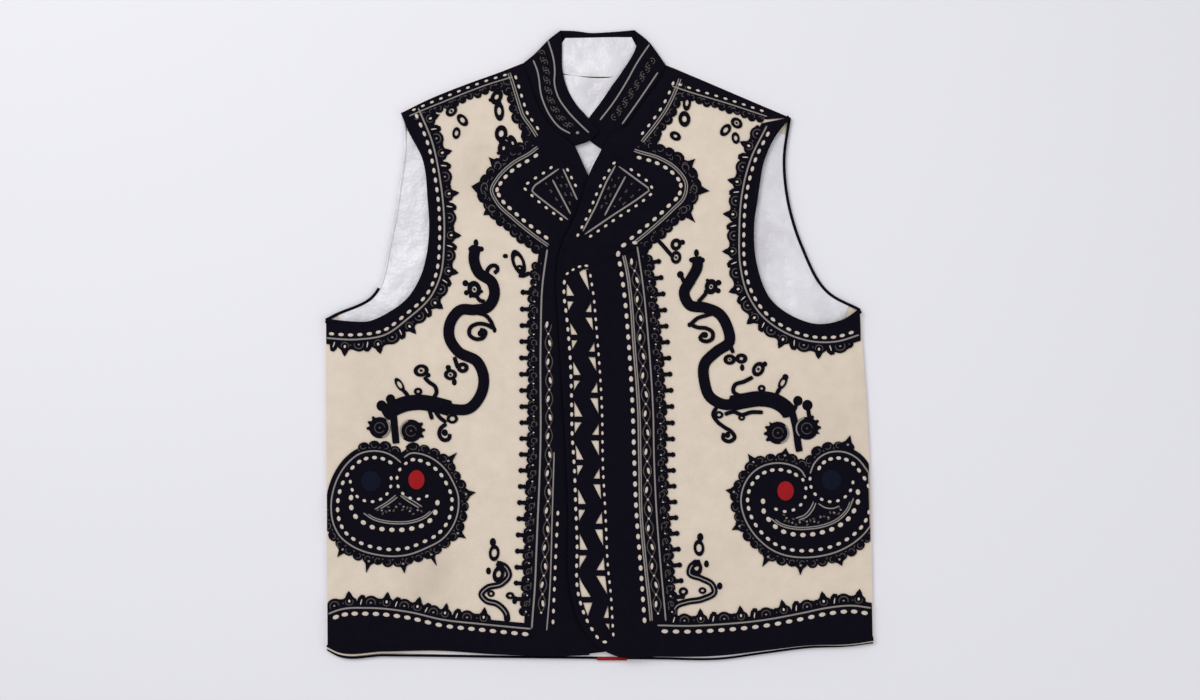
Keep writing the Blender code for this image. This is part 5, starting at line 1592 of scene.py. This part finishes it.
# %% Medallions and sprigs
# The braid runs on past the side seam, where the cloth rolls away and the trimming ends.
# Eyes: x, y, half width, half height, reach of their beads, where those start and stop in degrees
MEDALLIONS = {
    "right": {
        "braid": [
            (402, 462), (396.8, 457.5), (387.9, 452.6), (371.8, 450.6), (361, 453.2), (350.4, 461),
            (341.4, 472.9), (335.2, 487.1), (332.2, 505), (334.6, 522.9), (341.4, 535.4), (352.1, 544.3),
            (364.6, 550.2), (378.9, 553.8), (395, 555.2), (409.3, 553.6), (427.1, 547), (443.2, 538),
            (453.9, 524.6), (459, 508.6), (458.8, 494.3), (454, 481.8), (445, 467.5), (434.3, 458.6),
            (421.8, 453.4), (411, 453), (405, 457),
        ],
        "thorns": [
            (338, 556), (366.4, 571.5), (404.8, 572.5), (437, 565), (467, 537), (476.5, 492.5),
            (457.5, 452),
        ],
        "beads": [
            (353, 491), (352, 503), (353.9, 511.3), (358.4, 517.5), (366.8, 522.9), (376.3, 527.3),
            (387, 528.4), (398.6, 529.1), (409.3, 528.2), (419.6, 526), (428, 522), (434.3, 515.7),
            (437.5, 506.8), (438.8, 496),
        ],
        "braids": (
            [
                (364.6, 512.1), (373.6, 518.2), (387.9, 522.1), (398.6, 522.9), (412.9, 521.8),
                (425.4, 517.3), (436, 508.6),
            ],
            [(376, 508.5), (387.9, 501.4), (396.8, 494.5)],
            [(401.3, 494.8), (409.3, 500.5), (420, 507)],
            [(381.6, 508), (391.4, 501.8), (398.6, 496.3)],
            [(404, 494.8), (413, 499.5), (423, 506)],
        ),
        "lace": [(378, 512.5), (390, 509), (401, 505.5), (412, 509.5), (424, 511.5)],
        "eyes": (
            ("eye_blue_right", 372, 480.5, 9.8, 10.4, blue_felt, 20.5, 20, -190),
            ("eye_red_right", 417.4, 479.1, 8.0, 9.6, red_felt, 19.4, 110, 315),
        ),
    },
    "left": {
        "braid": [
            (804.5, 476.8), (800, 469.8), (789.3, 464.3), (775, 462.5), (760.7, 466), (750, 474),
            (742.9, 485.7), (740.2, 500), (742.9, 514.3), (750, 528.6), (760.7, 541), (771.4, 549),
            (785.7, 554.5), (800, 556.3), (817.9, 555.2), (837.5, 550), (853.6, 541), (868, 527),
            (876, 506), (874, 484), (865, 468.5), (855.4, 457.4), (844.6, 452), (832, 451.2),
            (821.4, 454.8), (813.4, 462.5), (809, 473),
        ],
        "thorns": [
            (748.2, 452.7), (725, 489.3), (731.3, 529.5), (760.7, 565.2), (800, 574.1), (840.2, 565.2),
            (785.7, 447.5), (849.1, 435),
        ],
        "beads": [
            (761.6, 494.6), (762.5, 503.6), (763.4, 512.5), (769.6, 520.5), (776.8, 527.7), (786.6, 532.1),
            (797.3, 533.9), (807.1, 533.9), (817.9, 532.1), (827.7, 529.5), (837.5, 525), (845.5, 519.6),
            (851.8, 511.6), (856.3, 502.7), (857.1, 494.6), (855.4, 485.7),
        ],
        "braids": (
            [
                (769.6, 517.2), (778.6, 524), (792.9, 528), (807.1, 528.2), (823.2, 525.6), (837.5, 519.2),
                (846.4, 510.4), (852.4, 497.3),
            ],
            [(794.6, 517.4), (803.6, 514), (810.5, 505.4), (812.5, 500.9)],
            [(797.5, 519.4), (806, 515.6), (812.8, 507), (814.8, 502)],
            [(817, 502.7), (825, 507.1), (833.9, 507.1), (838, 505)],
        ),
        "lace": [(780, 516), (792, 521), (806, 521), (820, 517.5), (832, 513), (841, 508)],
        "eyes": (
            ("eye_red_left", 784.6, 490.2, 8.2, 9.6, red_felt, 20.5, 45, -130),
            ("eye_blue_left", 830.4, 479.5, 9.8, 10.4, blue_felt, 21.5, 165, 365),
        ),
    },
}
# Where the cloth rolls towards the side its scallops are short: farther out than this
ROLLED_X, SHORT, SCALLOP = 245.0, 0.45, 5.0


def wide_shape(felt, outline, levels):
    """A large felt shape in rings, so that it follows the swell of the cloth."""
    centre = outline.mean(0)
    rings = [felt.raised(outline[None], felt.low)[0], felt.raised(outline[None], felt.high - 0.3)[0]]
    for share in np.linspace(0.99, 0.1, levels):
        rings.append(felt.raised((centre + (outline - centre) * share)[None], felt.high)[0])
    felt.rings(rings)


for side in (right, left):
    plan = MEDALLIONS[side.side]
    course = photo(plan["braid"])
    border = Border(smooth(course), -1)
    felt = side.felt()
    wide_shape(felt, beside(smooth(course, 3.0), -5.6), 14)
    for k, along in enumerate(evenly(border.line, 9.6, 6, 6)):
        x, y = border.at([(0, 5)], along)[0]
        size = SCALLOP * (SHORT if abs(x) > ROLLED_X and y > -150 else 1.0)
        felt.shape(border.at(circle(0, 0.6 + size + 0.7 * math.sin(k * 1.7), size, 12), along), 0.5)
        if size == SCALLOP:
            turn = 70 * (k % 5)
            side.dull.braid(border.at(arc(0, 6.0, 2.6, turn, turn + 200), along, 1 if k % 2 else -1), 0.9)
            side.dull.dot(border.at([(4.6, 3.4)], along)[0], 0.8, 1.4, border.turn(along) + k, sides=8)
    for spot in photo(plan["thorns"]):
        along, tip = border.reach(spot)
        rows = [(-6.5, 2), (-5.6, 8.5), (-2.2, 11.5), (0, tip), (2.2, 11.5), (5.6, 8.5), (6.5, 2)]
        felt.shape(border.at(rows, along), 0.4)
        side.grey.dot(border.at([(0, 8)], along)[0], 1.3, 1.5, sides=8)
    side.made(felt, "medallion_" + side.side)
    side.braid(border, 0, 1.5)
    side.beads(border, -6.6, 10.2, 2.0, 2.8, 4, 4)
    side.beads(Border(smooth(photo(plan["beads"])), 1), 0, 9.8, 2.5, 3.1, 1, 1)
    for k, rows in enumerate(plan["braids"]):
        line = smooth(photo(rows))
        side.grey.braid(line, 1.2)
        if k == 0:
            side.grey.braid(beside(line, 2.0)[3:-3], 1.0)
    line = Border(smooth(photo(plan["lace"])), 1)
    for k, along in enumerate(evenly(line.line, 3.6)):
        side.dull.dot(line.at([(0, 3.0 * math.cos(k * 2.2))], along)[0], 1.2, 2.0, line.turn(along) + k,
                      sides=8)
        if k % 2:
            side.grey.dot(line.at([(0, 1.4 * math.sin(k * 1.3))], along)[0], 1.0, 1.3, sides=8)
    for name, x, y, half_width, half_height, material, reach, start, stop in plan["eyes"]:
        place = at_photo(x, y)
        eye = Trim(side.surface, FELT - 0.2, FELT + 0.6)
        eye.shape(place + circle(0, 0, half_width, 28, half_height / half_width), 0.5)
        side.pieces.append(eye.made(name, material, name))
        side.beads(Border(place + arc(0, 0, reach, start, stop, 30), 1), 0, 8.6, 1.7, 2.2, 0, 0)

# Rings as above; stems: photo places
SPRIGS = {
    "right": (
        [
            (497, 562), (506, 566), (509.5, 573.6), (502.3, 582.5), (487, 587.2), (481.8, 593.2),
            (486, 599), (497.9, 603), (506.8, 612.9), (507.7, 620),
        ],
        (
            (494.7, 552, 5.4, 8.2, 85, 0.5, False), (499, 573, 5.8, 8.6, 75, 0.4, False),
            (510.5, 594.5, 3.6, 4.4, 0, 0.35, False), (491.5, 592.5, 3.4, 3.8, 0, 0.4, False),
        ),
        ((493.4, 541.4, 2.8, 3.8), (489, 570, 2.2, 3.2), (515, 600, 2.2, 2.8)),
    ),
    "left": (
        [
            (700, 561), (691, 565), (689, 572), (701, 577.5), (712, 584), (714, 590.5), (702, 598),
            (686, 601), (676, 605), (672, 614),
        ],
        (
            (698.5, 547, 5.4, 8.2, 95, 0.5, False), (696, 566.5, 5.8, 8, 100, 0.4, False),
            (683, 590.5, 4.4, 4.8, 0, 0.4, False), (702, 589.5, 3.4, 4, 0, 0.4, False),
        ),
        ((699.8, 536.5, 2.8, 3.8), (719.2, 585, 2.4, 3.2), (706, 563, 2.2, 3.2)),
    ),
}
# Rings between the armhole, shoulder and neck borders
CORNERS = {
    "right": (
        (501.5, 134.5, 6.4, 8.5, 85, 0.4, False), (499.5, 112, 5.0, 10, 95, 0.4, False),
        (504, 149, 6.0, 8, 80, 0.25, False), (513, 144, 4.6, 8.5, 110, 0.25, False),
        (452, 112, 5, 6.4, 40, 0.45, True), (463, 121, 4.6, 7, 130, 0.45, False),
        (457, 134, 4, 6, 80, 0.45, False), (497, 98, 5.6, 8, 60, 0.35, False),
    ),
    "left": (
        (684, 120, 6, 8, 95, 0.4, False), (686.5, 104, 4.2, 8, 85, 0.4, False),
        (675, 137, 4.4, 6, 150, 0.35, False), (736, 124, 5, 6.4, 140, 0.45, True),
        (725, 131, 4.6, 7, 50, 0.45, False), (735, 139, 4, 6, 100, 0.45, False),
    ),
}
for side in (right, left):
    rows, rings, buds = SPRIGS[side.side]
    felt = side.felt()
    side.stem(felt, rows, 6.2, 0.8)
    side.grey.braid(smooth(photo(rows), 2.0)[4:-3], 1.1)
    for ring in rings:
        side.loop(felt, *ring)
    side.buds(felt, buds)
    side.made(felt, "sprig_" + side.side)
    felt = side.felt()
    for ring in CORNERS[side.side]:
        side.loop(felt, *ring)
    side.pieces.append(felt.made("rings_" + side.side, black_felt))
    side.finish()
print("trimmings: %d pieces" % (len(right.pieces) + len(left.pieces)))

# %% [markdown]
# ## Collar stitching
# Two grey lines run along each folded half, with a row of dim embroidery between them.

# %% Collar stitching
COLLAR_LINES = {
    "right": (
        [
            (548, 40.8), (554, 62), (555, 73), (554.5, 83), (558.3, 97.7), (568, 112.3), (582.6, 128),
            (589, 134),
        ],
        [(533.5, 61.4), (537, 70), (542.6, 100), (549.8, 116), (559.5, 128), (570.5, 134.7)],
        [(541, 52), (545.5, 66), (547.5, 85), (552, 104), (561, 119), (572, 129)],
    ),
    "left": (
        [(649.2, 45.6), (637, 63.8), (626.2, 83.2), (614, 102.6), (600, 121)],
        [(657.7, 73.5), (637, 103.8), (622, 125)],
        [(653, 60), (632, 93), (613, 120)],
    ),
}
COLLAR_DOT = (577.7, 134)
for name, surface in (("right", right_collar), ("left", left_collar)):
    grey, dull = Trim(surface, -0.2, 0.6), Trim(surface, -0.2, 0.45)
    for rows in COLLAR_LINES[name][:2]:
        grey.braid(smooth(photo(rows)), 1.5)
    line = Border(smooth(photo(COLLAR_LINES[name][2])), 1)
    for k, along in enumerate(evenly(line.line, 5.2)):
        dull.braid(line.at(arc(0, 0, 3.0, 40 + 180 * (k % 2), 250 + 180 * (k % 2)), along), 0.9)
        dull.dot(line.at([(0, 0)], along)[0], 0.9, 1.3, sides=8)
    if name == "right":
        grey.dot(at_photo(*COLLAR_DOT), 1.6, 1.8)
    grey.made("collar_lines_" + name, grey_braid)
    dull.made("collar_threads_" + name, dull_thread)

# %% [markdown]
# ## Table, light and camera
# The vest lies on a plain pale table under one broad soft light from above, a little from the upper left.
# The camera looks straight down, as it does for the catalogue picture of a laid-out garment.

# %% Table, light and camera
bpy.ops.mesh.primitive_plane_add(size=6, location=(0, 0, -0.0004))
table = bpy.context.object
table.name = "table"
table_shader = Shader("table_top", Roughness=0.8)
table_shader.colour((0.80, 0.79, 0.83, 1))
table.data.materials.append(table_shader.material)


def area_light(name, place, aim, size, power):
    """A square soft light pointed at a place."""
    lamp = bpy.data.objects.new(name, bpy.data.lights.new(name, "AREA"))
    lamp.data.size, lamp.data.energy = size, power
    lamp.location = place
    way = np.array(aim, float) - np.array(place, float)
    lamp.rotation_euler = (math.atan2(math.hypot(way[0], way[1]), -way[2]), 0, math.atan2(-way[0], way[1]))
    bpy.context.scene.collection.objects.link(lamp)
    return lamp


key = area_light("key_light", (-0.9, 0.9, 1.9), (0, 0, 0), 1.2, 24)
fill = area_light("fill_light", (1.2, -0.6, 1.8), (0, 0, 0), 1.8, 9)
world = bpy.data.worlds.new("studio")
bpy.context.scene.world = world
world.use_nodes = True
background = world.node_tree.nodes["Background"].inputs
background["Color"].default_value = (0.95, 0.96, 1.0, 1)
background["Strength"].default_value = 0.55

CAMERA_HEIGHT, SENSOR = 1.8, 36
PICTURE_WIDTH, PICTURE_HEIGHT = 1200, 700
camera = bpy.data.objects.new("camera", bpy.data.cameras.new("camera"))
camera.data.sensor_width = SENSOR
camera.data.lens = SENSOR * CAMERA_HEIGHT / (PICTURE_WIDTH * MM)
camera.location = ((PICTURE_WIDTH / 2 - MIDDLE_X) * MM, (MIDDLE_Y - PICTURE_HEIGHT / 2) * MM, CAMERA_HEIGHT)
bpy.context.scene.collection.objects.link(camera)
bpy.context.scene.camera = camera
bpy.context.scene.view_settings.view_transform = "Standard"
print("the picture spans %.1f m at the table" % (PICTURE_WIDTH * MM))

# %% [markdown]
# ## The cloth's cut
# Each panel is listed with the rectangle that it was cut from, and the area of the cut itself is printed.

# %% The cloth's cut
# Columns: panel, cut width, cut length, grid, what it lies on
cuts = (
    (back, 0.546, 0.594, back_grid, ["table"]),
    (lining, 0.518, 0.581, lining_grid, ["back"]),
    (right_front, 0.300, 0.590, right_grid, ["back", "back_lining"]),
    (left_front, 0.316, 0.589, left_grid, ["back", "back_lining", "front_right"]),
    (collar_back, 0.143, 0.047, collar_back_grid, ["table"]),
    (collar_lining, 0.105, 0.038, collar_lining_grid, ["collar_back"]),
    (collar_left, 0.087, 0.121, collar_left_grid, ["back_lining"]),
    (collar_right, 0.077, 0.117, collar_right_grid, ["back_lining", "collar_left"]),
)
for panel_piece, width, length, grid, below in cuts:
    cloth_area(grid)
    print("%s: %.4f square metres" % (panel_piece.name, cloth_area(grid)))
